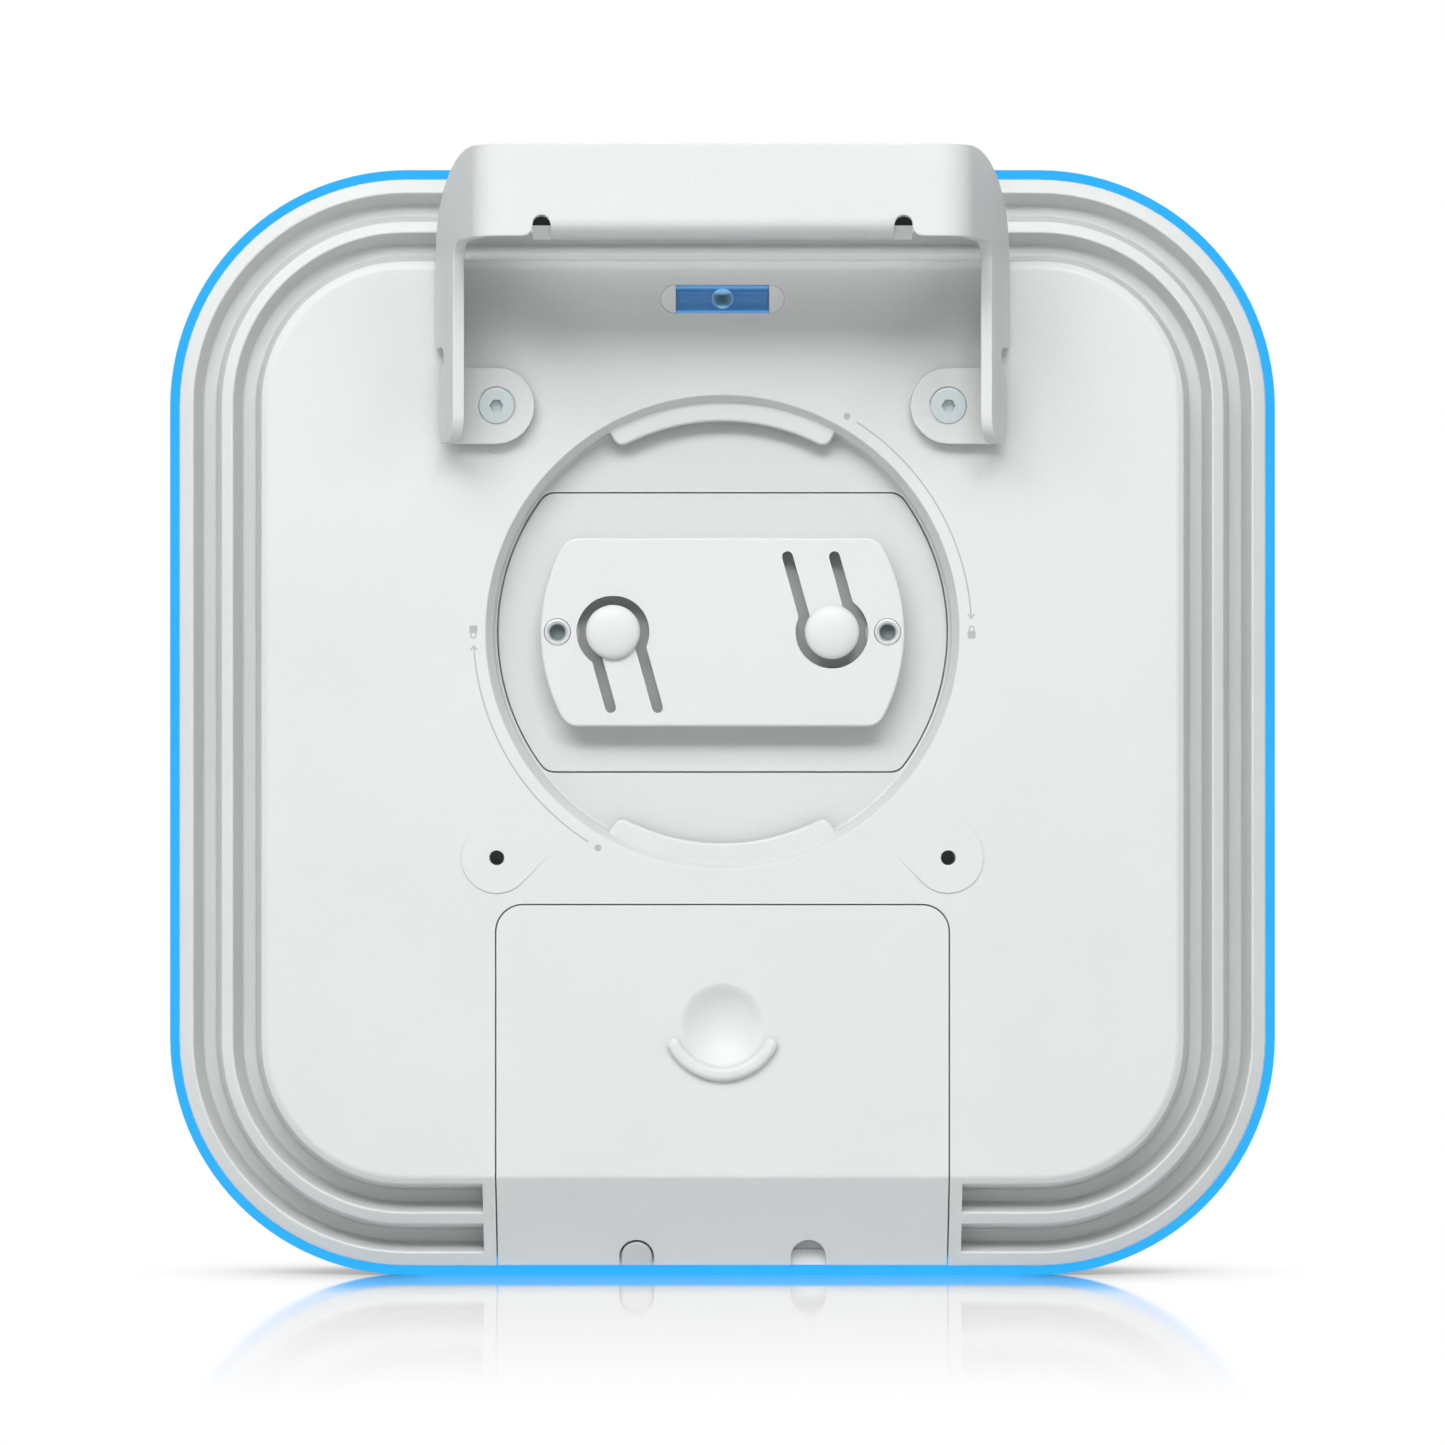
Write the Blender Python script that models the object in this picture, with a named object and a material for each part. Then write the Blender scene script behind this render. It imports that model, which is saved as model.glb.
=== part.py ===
"""Square access point for a wall, a pole or a ceiling, with its bent steel wall bracket.

Metres, +Z up. The world origin is the middle of the bracket's wall face, and +Y runs from the
wall into the unit. The unit itself is modelled in its own frame, held by an empty: X right and
Z up from the middle of the unit, and Y = 0 on the rear face of the light ring. The rear panel
looks towards -Y and the plain front towards +Y.
"""
import math

import bmesh
import bpy
from mathutils import Matrix, Vector

MM = 0.001

# Clearances
SEAT_GAP = 0.3 * MM            # between a piece and what it rests on or in
SEAM_GAP = 0.5 * MM            # open seam round the door and the lock insert
SLIDE_GAP = 0.4 * MM           # between sliding pieces
OVERRUN = 10 * MM              # how far a cutting tool passes the surface it cuts

# Facets
CORNER_STEPS = 10              # in each quarter turn of the body's outline
ROUND_STEPS = 56               # in a full turn of the recess
SMALL_STEPS = 20               # in a full turn of a small round piece

# Body
BODY_SIDE = 286 * MM
BODY_CORNER_R = 61.3 * MM
PANEL_RISE = 17 * MM           # rear panel behind the rear face of the light ring
FRONT_DEPTH = 35 * MM          # front face ahead of the rear face of the light ring
RING_WIDTH = 4.5 * MM
RING_DEPTH = 6 * MM
RING_SHOWN = 2.5 * MM          # width of the ring that the lip leaves open
LIP_EDGE = 0.7 * MM
BORDER_WIDTH = 23.9 * MM       # sloped border, from the lip to the panel
PANEL_EDGE_R = 2.2 * MM
PANEL_WALL = 3 * MM

# Border grooves
FLANGE_WIDTH = 3.7 * MM        # plain slope outside the first groove
GROOVE_PITCH = 10.7 * MM
GROOVE_OUTER_RUN = 2.4 * MM   # width of the outer wall, seen from behind
GROOVE_FLOOR = 3.2 * MM
GROOVE_INNER_RUN = 2.15 * MM
GROOVE_DEPTHS = (19.4 * MM, 12.3 * MM)   # of the floors, below the panel

# Housing inside
LED_POCKET = 2.5 * MM          # room for a lamp strip behind the light ring
LED_SHELF_Y = 3 * MM
RIM_Y = 9 * MM                 # front rim of the rear housing
RIM_WALL = 2.7 * MM
GROOVE_WALL = 2.6 * MM         # metal left under a groove
PANEL_INSET = 4.5 * MM         # inner edge of the panel, inside its outer edge
DRUM_WALL = 3.2 * MM
DRUM_FLOOR = 4.5 * MM

# Twist-lock recess
RECESS_BELOW_LEVEL = 85.4 * MM   # middle of the recess below the bubble level
RECESS_R = 60.8 * MM
RECESS_FLARE = 1.9 * MM        # how much wider the mouth is than the wall below it
RECESS_FLARE_DEPTH = 3.5 * MM
RECESS_DEPTH = 8 * MM
TAB_R = 54.5 * MM              # inner radius of the two bayonet tabs
TAB_HALF_ANGLE = 29.5
TAB_DROP = 3.6 * MM
TAB_THICK = 2.6 * MM
CUP_FLANGE = 3 * MM            # rim of the recess cup behind the panel
CUP_FLANGE_THICK = 1.5 * MM

# Lock insert
INSERT_R = 58.0 * MM
INSERT_HALF = 36.05 * MM
INSERT_CORNER_R = 4.5 * MM
INSERT_BASE = 2 * MM
PLATFORM_R = 46.8 * MM
PLATFORM_HALF = 24.3 * MM
PLATFORM_CORNER_R = 5 * MM
PLATFORM_WALL = 2.5 * MM
INSERT_SCREW_X = 33 * MM
INSERT_SCREW_Z = 30.2 * MM
INSERT_POST_R = 3 * MM
INSERT_SCREW_HEAD_R = 4.2 * MM
INSERT_SCREW_HEAD = 1.8 * MM
INSERT_SCREW_R = 1.1 * MM

# Latch fingers
LATCH_X = 28.1 * MM
BUTTON_R = 7.0 * MM
BUTTON_DOME = 2.2 * MM
BUTTON_WELL_R = 9.2 * MM
FINGER_HALF = 4.4 * MM
FINGER_SLOT = 2.8 * MM
FINGER_TILT = 15.6
FINGER_ROOT = 20.75 * MM       # root line from the middle of the button, along Z

# Lock bushes
BUSH_X = 42.35 * MM
BUSH_R = 3.35 * MM
BUSH_BORE_R = 2 * MM
BUSH_LENGTH = 5 * MM
BUSH_PROUD = 0.3 * MM
BUSH_BOSS_R = 5.6 * MM

# Bosses for the bracket
BOSS_SPACING = 115.8 * MM      # square pattern round the recess
BOSS_PAD_R = 9.2 * MM
BOSS_PAD_RISE = 0.3 * MM
BOSS_R = 6.5 * MM
BOSS_HOLE_R = 2.05 * MM        # core of an M5 thread
BOSS_HOLE_DEPTH = 11 * MM

# Port door and bay
DOOR_HALF = 58.2 * MM          # to the middle of the seam
DOOR_BELOW_RECESS = 9.1 * MM
RAMP_SIDE = 3.4 * MM           # fixed strip of the ramp beside the door
DOOR_CORNER_R = 7 * MM
DOOR_WALL = 2.5 * MM
DOOR_FOOT_INSET = 0.2 * MM     # lower edge of the door inside the lip
DIMPLE_BELOW_TOP = 30.9 * MM
DIMPLE_R = 10.1 * MM
DIMPLE_DEPTH = 3 * MM
DIMPLE_WALL = 2 * MM
RIDGE_LIFT = 1.4 * MM          # middle of the ridge's arc, above the middle of the dimple
RIDGE_R = 14 * MM
RIDGE_WIDTH = 3.6 * MM
RIDGE_RISE = 1.2 * MM
RIDGE_HALF_ANGLE = 62
NOTCH_X = 22.2 * MM            # cable exits, either side of the middle
NOTCH_R = 4.5 * MM
NOTCH_TOP = 7 * MM             # top of a cable exit, inside the lip
PLUG_GROOVE = 0.85 * MM
PLUG_FLANGE = 1.2 * MM
PLUG_LAP = 1.8 * MM
BAY_HALF = 53.5 * MM
BAY_SHELF = 4.3 * MM           # ledge under the top edge of the door
BAY_RIM = 9.5 * MM             # lower wall of the bay, inside the lip
BAY_FLOOR_Y = 0.5 * MM
BAY_WALL = 2 * MM
RAIL_THICK = 2 * MM
RAIL_FOOT = 2.6 * MM
RAIL_FOOT_THICK = 1.5 * MM
RAIL_DROP = 3.4 * MM           # foot of a rail below the inside of the door
RAIL_STOP = 6.9 * MM           # lower end of a rail, inside the edge of the panel
RAIL_START = 9 * MM            # from the top edge of the door

# Main board and what stands on it
BOARD_Y = 6 * MM
BOARD_THICK = 1.6 * MM
BOARD_HALF = 100 * MM
BOARD_CORNER_R = 10 * MM
POST_INSET = 12 * MM           # posts from the edges of the board
POST_R = 4.2 * MM
STUD_R = 1.4 * MM
STUD_LENGTH = 9 * MM
STANDOFF_FLATS = 6 * MM
SHIELD_HEIGHT = 3.5 * MM
SHIELD_WALL = 0.8 * MM
PROCESSOR_SHIELD = (46 * MM, 46 * MM)
RADIO_SHIELD = (54 * MM, 44 * MM)
RADIO_X = 58 * MM
SPREADER = (84 * MM, 48 * MM)
SPREADER_FOOT = 4 * MM
SPREADER_TOP = 40 * MM
PAD_SIDE = 36 * MM
PAD_THICK = 1.2 * MM
JACK_WIDTH = 16 * MM
JACK_LENGTH = 21 * MM
JACK_SOCKET = (11.9 * MM, 7 * MM, 14 * MM)
JACK_KEY = (6 * MM, 2.2 * MM)
JACK_WALL = 1.2 * MM
JACK_SILL = 0.6 * MM           # lower edge of a socket above the floor of the bay
JACK_DROP = 3 * MM             # from the top of the bay
RESET_BELOW_TOP = 13.3 * MM
RESET_R = 1.6 * MM
RESET_PROUD = 2.5 * MM
RESET_COLLAR_R = 2.6 * MM
RESET_COLLAR = 0.5 * MM
RESET_TRAVEL = 0.4 * MM
SWITCH_SIDE = 6 * MM

# Antennas
ANTENNA_PLATE_THICK = 1 * MM
PATCH_SIDE = 44 * MM
PATCH_THICK = 0.8 * MM
PATCH_INSET = 52 * MM          # middle of a patch from the edges of the board
PATCH_HEIGHT = 6 * MM
PATCH_POST_R = 2.5 * MM
PATCH_FEED_R = 0.8 * MM
PATCH_FEED_OUT = 10 * MM
PATCH_TO_RADOME = 4.2 * MM
PLATE_SCREW_HEAD_R = 2.8 * MM
PLATE_SCREW_HEAD = 2 * MM
PLATE_SCREW_R = 1.15 * MM
PLATE_SCREW_LENGTH = 7 * MM

# Lamps
LED_STRIP_INSET = 11.7 * MM    # end of a strip from the start of the body's corner
LED_STRIP_THICK = 1.2 * MM
LED_COUNT = 8
LED_WIDTH = 3.5 * MM
LED_STRIP_DEPTH = 2.4 * MM

# Radome and its gasket
RADOME_STEP = 0.4 * MM         # radome edge inside the light ring
RADOME_DRAFT = 1.6 * MM
RADOME_EDGE_R = 14 * MM
RADOME_WALL = 3 * MM
RADOME_RIB = 2.2 * MM
GASKET_THICK = 1.5 * MM

# Bubble level
LEVEL_INSET = 8 * MM           # middle of the level below the top edge of the panel
LEVEL_POCKET_LENGTH = 31.8 * MM
LEVEL_POCKET_WIDTH = 7.7 * MM
VIAL_LENGTH = 23.8 * MM
VIAL_R = 3.6 * MM
VIAL_BORE_R = 2.8 * MM
VIAL_SINK = 0.2 * MM
LEVEL_CAP_R = 3.45 * MM
LEVEL_STUB = 1.5 * MM
BUBBLE_R = 2.2 * MM
BUBBLE_LENGTH = 5.6 * MM
LEVEL_WALL = 2.4 * MM

# Wall bracket
SHEET = 3 * MM
BRACKET_REACH = 42 * MM        # from the wall face to the rear panel
PLATE_HEIGHT = 23.1 * MM
PLATE_ABOVE_BOSS = 41 * MM     # lower edge of the plate above the upper bosses
BEND_R = 6.5 * MM              # inside radius between the plate and an arm
ARM_SPLAY = 17
ARM_DROP = 24.2 * MM           # rounded top corner of an arm, along Z
ARM_FREE_GAP = 1 * MM          # free edge of an arm above the panel
ARM_NEAR = 24.5 * MM           # near edge of a lower arm behind the wall face
ARM_CORNER_R = 7 * MM
ARM_FILLET_R = 5 * MM
FOOT_BEND_R = 1.5 * MM
FOOT_FLAT = 9.8 * MM           # from the screw to the bend of the foot
FOOT_HALF = 9.8 * MM
RELIEF = 4.9 * MM              # slot between a foot and the free edge of its arm
RELIEF_DEPTH = 2.5 * MM        # past the start of the foot's bend
HOOK_NOTCH_X = 45.4 * MM
HOOK_NOTCH_R = 2.25 * MM
HOOK_NOTCH_TOP = 5.2 * MM      # top of a notch above the lower edge of the plate
HOOK_NOTCH_FILLET = 2.5 * MM
HOOK_BEND_R = 1.5 * MM
HOOK_LENGTH = 15 * MM
BRACKET_SCREW_HEAD_R = 4.7 * MM   # flat countersunk head
BRACKET_SCREW_SINK = 0.1 * MM
BRACKET_SCREW_R = 1.75 * MM
BRACKET_SCREW_LENGTH = 13 * MM
HEX_KEY_FLATS = 3 * MM
HEX_KEY_DEPTH = 1.5 * MM

# Worked out: body outline and border
BODY_HALF = BODY_SIDE / 2
CORNER_CENTRE = BODY_HALF - BODY_CORNER_R
LIP_HALF = BODY_HALF - RING_SHOWN
PANEL_HALF = LIP_HALF - BORDER_WIDTH
PANEL_Y = -PANEL_RISE
LIP_Y = -SEAT_GAP - LIP_EDGE
SLOPE = (LIP_Y - PANEL_Y) / BORDER_WIDTH
SLOPE_ANGLE = math.atan(SLOPE)
WALL_HALF = BODY_HALF - RING_WIDTH - SEAT_GAP
SHELF_HALF = WALL_HALF - LED_POCKET
POCKET_HALF = SHELF_HALF - RIM_WALL

# Worked out: places on the rear panel
LEVEL_Z = PANEL_HALF - LEVEL_INSET
RECESS_Z = LEVEL_Z - RECESS_BELOW_LEVEL
DOOR_TOP = RECESS_Z - RECESS_R - DOOR_BELOW_RECESS
DIMPLE_Z = DOOR_TOP - DIMPLE_BELOW_TOP
RESET_Z = DOOR_TOP - RESET_BELOW_TOP
GROOVE_END_X = DOOR_HALF + RAMP_SIDE

# Worked out: depths inside the unit
RECESS_FLOOR_Y = PANEL_Y + RECESS_DEPTH
DRUM_Y = RECESS_FLOOR_Y + DRUM_FLOOR
INSERT_SEAT_Y = RECESS_FLOOR_Y + INSERT_BASE
INSERT_POCKET_Y = INSERT_SEAT_Y + SEAT_GAP
BOARD_FRONT_Y = BOARD_Y + BOARD_THICK
RADOME_INNER_Y = FRONT_DEPTH - RADOME_WALL
PATCH_Y = RADOME_INNER_Y - PATCH_TO_RADOME - PATCH_THICK
PLATE_FRONT_Y = PATCH_Y - PATCH_HEIGHT
PLATE_BACK_Y = PLATE_FRONT_Y - ANTENNA_PLATE_THICK
POST_PLACE = BOARD_HALF - POST_INSET
PATCH_PLACE = BOARD_HALF - PATCH_INSET
STUD_HOLE_R = STUD_R + SEAT_GAP
BAY_TOP = DOOR_TOP - BAY_SHELF
BAY_BOTTOM = -(LIP_HALF - BAY_RIM)
DOOR_INNER_Y = PANEL_Y + DOOR_WALL
NOTCH_Z = -(LIP_HALF - NOTCH_TOP) - NOTCH_R

# Worked out: bracket, in the frame of the unit
BOSS_X = BOSS_SPACING / 2
BOSS_TOP_Z = RECESS_Z + BOSS_SPACING / 2
BOSS_LOW_Z = RECESS_Z - BOSS_SPACING / 2
PAD_Y = PANEL_Y - BOSS_PAD_RISE
FOOT_UNDER_Y = PAD_Y - SEAT_GAP
FOOT_TOP_Y = FOOT_UNDER_Y - SHEET
WALL_FACE_Y = PANEL_Y - BRACKET_REACH
PLATE_LOW_Z = BOSS_TOP_Z + PLATE_ABOVE_BOSS
PLATE_TOP_Z = PLATE_LOW_Z + PLATE_HEIGHT
UNIT_DROP = (PLATE_LOW_Z + PLATE_TOP_Z) / 2

for old in list(bpy.data.objects):
    bpy.data.objects.remove(old)

unit = bpy.data.objects.new("unit_frame", None)
unit.location = (0, -WALL_FACE_Y, -UNIT_DROP)
bpy.context.scene.collection.objects.link(unit)


# Outlines and solids

def arc(cx, cz, radius, start, end, steps):
    """Points along an arc, with both ends, by angles in degrees."""
    points = []
    for i in range(steps + 1):
        turn = math.radians(start + (end - start) * i / steps)
        points.append((cx + radius * math.cos(turn), cz + radius * math.sin(turn)))
    return points


def rounded_box(half_x, half_z, radius, steps=5):
    points = []
    for sx, sz, start in ((1, 1, 0), (-1, 1, 90), (-1, -1, 180), (1, -1, 270)):
        points += arc(sx * (half_x - radius), sz * (half_z - radius), radius, start, start + 90, steps)
    return points


def body_outline(half):
    """Outline of the body at a half width. All of them share the same corner centres."""
    return rounded_box(half, half, half - CORNER_CENTRE, CORNER_STEPS)


def flatted_disc(radius, half, corner, steps):
    """A disc with a flat at the top and the bottom and rounded corners between."""
    corner_z = half - corner
    corner_x = math.sqrt((radius - corner) ** 2 - corner_z ** 2)
    meet = math.degrees(math.atan2(corner_z, corner_x))
    points = arc(0, 0, radius, -meet, meet, steps)
    points += arc(corner_x, corner_z, corner, meet, 90, 4)[1:]
    points += arc(-corner_x, corner_z, corner, 90, 180 - meet, 4)
    points += arc(0, 0, radius, 180 - meet, 180 + meet, steps)[1:]
    points += arc(-corner_x, -corner_z, corner, 180 + meet, 270, 4)[1:]
    points += arc(corner_x, -corner_z, corner, 270, 360 - meet, 4)[:-1]
    return points


def place(points, x=0.0, z=0.0, turn=1):
    """Move an outline to (x, z). A turn of -1 rotates it by half a turn first."""
    return [(x + turn * px, z + turn * pz) for px, pz in points]


def loft(loops, closed=False):
    """Skin over loops of equal length: a solid with two caps, or a closed ring."""
    bm = bmesh.new()
    rings = [[bm.verts.new(point) for point in loop] for loop in loops]
    following = rings[1:] + rings[:1] if closed else rings[1:]
    for ring, after in zip(rings, following):
        for i in range(len(ring)):
            j = (i + 1) % len(ring)
            bm.faces.new((ring[i], ring[j], after[j], after[i]))
    if not closed:
        bm.faces.new(rings[0])
        bm.faces.new(list(reversed(rings[-1])))
    return solid(bm)


def solid(bm):
    bmesh.ops.recalc_face_normals(bm, faces=bm.faces[:])
    mesh = bpy.data.meshes.new("solid")
    bm.to_mesh(mesh)
    bm.free()
    made = bpy.data.objects.new("solid", mesh)
    bpy.context.scene.collection.objects.link(made)
    return made


def prism(points, y_back, y_front):
    """Solid with an (x, z) outline between two depths."""
    return loft([[(x, y, z) for x, z in points] for y in (y_back, y_front)])


def side_prism(points, x_left, x_right):
    """Solid with a (y, z) outline between two widths."""
    return loft([[(x, y, z) for y, z in points] for x in (x_left, x_right)])


def box(x_range, y_range, z_range):
    left, right = x_range
    low, high = z_range
    return prism([(left, low), (right, low), (right, high), (left, high)], *y_range)


def turned(profile, x=0.0, z=0.0, steps=SMALL_STEPS, closed=False):
    """Solid turned about a line along Y through (x, z), from (radius, y) points."""
    return loft([[(px, y, pz) for px, pz in arc(x, z, radius, 0, 360, steps)[:-1]]
                 for radius, y in profile], closed)


def turned_across(profile, y, z, steps=SMALL_STEPS, closed=False):
    """Solid turned about a line along X through (y, z), from (radius, x) points."""
    return loft([[(px, py, pz) for py, pz in arc(y, z, radius, 0, 360, steps)[:-1]]
                 for radius, px in profile], closed)


def rod(radius, y_back, y_front, x=0.0, z=0.0, steps=SMALL_STEPS):
    return turned([(radius, y_back), (radius, y_front)], x, z, steps)


def body_solid(profile, closed=False):
    """Solid that follows the outline of the body, from (half width, y) points."""
    return loft([[(x, y, z) for x, z in body_outline(half)] for half, y in profile], closed)


def combine(target, tool, operation, solver="EXACT"):
    modifier = target.modifiers.new("combine", "BOOLEAN")
    modifier.operation = operation
    modifier.solver = solver
    modifier.object = tool
    depsgraph = bpy.context.evaluated_depsgraph_get()
    result = bpy.data.meshes.new_from_object(target.evaluated_get(depsgraph))
    target.modifiers.clear()
    target.data = result
    bpy.data.objects.remove(tool)


def cut(target, *tools):
    for tool in tools:
        combine(target, tool, "DIFFERENCE")


def add(target, *tools):
    for tool in tools:
        combine(target, tool, "UNION")


def keep(target, tool):
    combine(target, tool, "INTERSECT")


def material(name, colour, roughness, metallic=0.0):
    made = bpy.data.materials.new(name)
    made.use_nodes = True
    shader = made.node_tree.nodes["Principled BSDF"]
    shader.inputs["Base Color"].default_value = (*colour, 1.0)
    shader.inputs["Roughness"].default_value = roughness
    shader.inputs["Metallic"].default_value = metallic
    return made


def finish(target, name, surface, pivot=(0, 0, 0)):
    """Name a piece, give it its material and hang it in the frame of the unit."""
    target.name = name
    target.data.name = name
    target.data.transform(Matrix.Translation(-Vector(pivot)))
    target.location = pivot
    target.parent = unit
    target.data.materials.clear()
    target.data.materials.append(surface)
    target.data.shade_smooth()
    target.data.set_sharp_from_angle(angle=math.radians(35))


WHITE_PAINT = material("white_cast_paint", (0.80, 0.82, 0.81), 0.55)
WHITE_PLASTIC = material("white_plastic", (0.82, 0.83, 0.82), 0.45)
RADOME_PLASTIC = material("radome_plastic", (0.84, 0.85, 0.84), 0.4)
LIGHT_GUIDE = material("blue_light_guide", (0.03, 0.46, 1.0), 0.3)
BRACKET_PAINT = material("white_powder_coat", (0.80, 0.82, 0.81), 0.5)
SCREW_STEEL = material("screw_steel", (0.58, 0.60, 0.64), 0.35, 1.0)
BUSH_STEEL = material("bush_steel", (0.55, 0.55, 0.56), 0.3, 1.0)
VIAL_PLASTIC = material("blue_vial", (0.05, 0.16, 0.40), 0.15)
CAP_PLASTIC = material("vial_cap", (0.78, 0.80, 0.80), 0.35)
BUBBLE_GLOSS = material("bubble", (0.75, 0.85, 0.95), 0.05)
PLUG_RUBBER = material("plug_rubber", (0.72, 0.73, 0.73), 0.6)
GASKET_RUBBER = material("gasket_rubber", (0.03, 0.03, 0.035), 0.7)
BOARD_GREEN = material("circuit_board", (0.01, 0.12, 0.06), 0.4)
SHIELD_TIN = material("shield_tin", (0.62, 0.62, 0.60), 0.35, 1.0)
ALUMINIUM = material("plain_aluminium", (0.70, 0.71, 0.72), 0.4, 1.0)
PAD_GREY = material("thermal_pad", (0.35, 0.42, 0.50), 0.8)
BRASS = material("standoff_brass", (0.72, 0.52, 0.24), 0.35, 1.0)
JACK_BLACK = material("jack_black", (0.02, 0.02, 0.022), 0.4)
BUTTON_GREY = material("button_grey", (0.25, 0.25, 0.26), 0.5)
STRIP_WHITE = material("strip_white", (0.85, 0.85, 0.83), 0.4)


# Border of the rear housing

def border_y(half):
    """Depth of the sloped border at a half width."""
    return LIP_Y - (LIP_HALF - half) * SLOPE


def slope_half(y, sink=0.0):
    """Half width at which the slope, sunk along its normal, lies at a depth."""
    return LIP_HALF + (y - LIP_Y - sink / math.cos(SLOPE_ANGLE)) / SLOPE


def panel_edge():
    """The two ends of the rounded edge between the panel and the slope, as (half, y)."""
    run = PANEL_EDGE_R * math.tan(SLOPE_ANGLE / 2)
    return ((PANEL_HALF + run * math.cos(SLOPE_ANGLE), PANEL_Y + run * math.sin(SLOPE_ANGLE)),
            (PANEL_HALF - run, PANEL_Y))


def groove_section(index):
    """Corners of a groove, as (half, y): outer edge, floor and inner edge."""
    outer = LIP_HALF - FLANGE_WIDTH - index * GROOVE_PITCH
    floor_out = outer - GROOVE_OUTER_RUN
    floor_in = floor_out - GROOVE_FLOOR
    inner = floor_in - GROOVE_INNER_RUN
    floor_y = PANEL_Y + GROOVE_DEPTHS[index]
    return (outer, border_y(outer)), (floor_out, floor_y), (floor_in, floor_y), (inner, border_y(inner))


def run_on(start, through, y):
    """Point at depth y on the line from start through another point."""
    share = (y - start[1]) / (through[1] - start[1])
    return start[0] + (through[0] - start[0]) * share, y


def open_outline(half):
    """Outline of the body from one side of the ramp round to the other."""
    points = [(GROOVE_END_X, -half)]
    for sx, sz, start in ((1, -1, 270), (1, 1, 0), (-1, 1, 90), (-1, -1, 180)):
        points += arc(sx * CORNER_CENTRE, sz * CORNER_CENTRE, half - CORNER_CENTRE,
                      start, start + 90, CORNER_STEPS)
    return points + [(-GROOVE_END_X, -half)]


def groove_tool(index):
    outer, floor_out, floor_in, inner = groove_section(index)
    above = PANEL_Y - OVERRUN / 5
    section = [run_on(floor_out, outer, above), floor_out, floor_in, run_on(floor_in, inner, above)]
    rails = [[(x, y, z) for x, z in open_outline(half)] for half, y in section]
    return loft([list(corner) for corner in zip(*rails)])


# Rear housing

def housing_pocket():
    """The hollow inside the rear housing, less the forms that stand in it."""
    floor_low, floor_high = groove_section(0)[2], groove_section(1)[2]
    under_low = (floor_low[0], floor_low[1] + GROOVE_WALL)
    under_high = (floor_high[0], floor_high[1] + GROOVE_WALL)
    rise = (under_low[1] - under_high[1]) / (under_low[0] - under_high[0])

    def under_y(half):
        return under_high[1] + (half - under_high[0]) * rise

    top = PANEL_HALF - PANEL_INSET
    shoulder = top + PANEL_INSET / 2
    pocket = body_solid([(top, PANEL_Y + PANEL_WALL), (shoulder, under_y(shoulder)),
                         (POCKET_HALF, under_y(POCKET_HALF)), (POCKET_HALF, RIM_Y + OVERRUN)])
    back = PANEL_Y - OVERRUN
    bay = box((-DOOR_HALF - BAY_WALL, DOOR_HALF + BAY_WALL), (back, BAY_FLOOR_Y + BAY_WALL),
              (-BODY_HALF - OVERRUN, DOOR_TOP + BAY_WALL))
    level_half = LEVEL_POCKET_LENGTH / 2 + LEVEL_WALL
    level = box((-level_half, level_half), (back, level_floor() + LEVEL_WALL),
                (LEVEL_Z - LEVEL_POCKET_WIDTH / 2 - LEVEL_WALL, BODY_HALF))
    cut(pocket, bay, level)
    for x in (-BOSS_X, BOSS_X):
        for z in (BOSS_LOW_Z, BOSS_TOP_Z):
            cut(pocket, rod(BOSS_R, back, PANEL_Y + BOSS_HOLE_DEPTH + PANEL_WALL / 2, x, z))
    for x, z in post_places():
        cut(pocket, rod(POST_R, back, BOARD_Y - SEAT_GAP, x, z))
    return pocket


def post_places():
    return [(x, z) for x in (-POST_PLACE, POST_PLACE) for z in (-POST_PLACE, POST_PLACE)]


def insert_screw_places():
    return [(x, RECESS_Z + z) for x in (-INSERT_SCREW_X, INSERT_SCREW_X)
            for z in (-INSERT_SCREW_Z, INSERT_SCREW_Z)]


def level_floor():
    return PANEL_Y + VIAL_SINK + 2 * VIAL_R + SEAT_GAP


def tab_outline(turn):
    """A bayonet tab, as an arc with rounded inner corners that runs into the wall."""
    outer = RECESS_R + DRUM_WALL / 2
    corner = (RECESS_R - TAB_R) / 2
    swing = math.degrees(corner / TAB_R)
    inner = arc(0, 0, TAB_R, 90 + TAB_HALF_ANGLE - swing, 90 - TAB_HALF_ANGLE + swing, 12)
    mid = arc(0, 0, TAB_R + corner, 90 + TAB_HALF_ANGLE, 90 - TAB_HALF_ANGLE, 1)
    back = arc(0, 0, outer, 90 - TAB_HALF_ANGLE, 90 + TAB_HALF_ANGLE, 12)
    return place([mid[0]] + inner + [mid[1]] + back, 0, RECESS_Z, turn)


def recess_tool():
    above = OVERRUN / 5
    wall = RECESS_R - RECESS_FLARE
    tool = turned([(RECESS_R + above * RECESS_FLARE / RECESS_FLARE_DEPTH, PANEL_Y - above),
                   (wall, PANEL_Y + RECESS_FLARE_DEPTH), (wall, RECESS_FLOOR_Y)], 0, RECESS_Z, ROUND_STEPS)
    for turn in (1, -1):
        cut(tool, prism(tab_outline(turn), PANEL_Y + TAB_DROP, PANEL_Y + TAB_DROP + TAB_THICK))
    return tool


def insert_outline(grow=0.0):
    points = flatted_disc(INSERT_R + grow, INSERT_HALF + grow, INSERT_CORNER_R + grow, ROUND_STEPS // 4)
    return place(points, 0, RECESS_Z)


def platform_outline(grow=0.0):
    points = flatted_disc(PLATFORM_R + grow, PLATFORM_HALF + grow, PLATFORM_CORNER_R + grow, ROUND_STEPS // 5)
    return place(points, 0, RECESS_Z)


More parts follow.
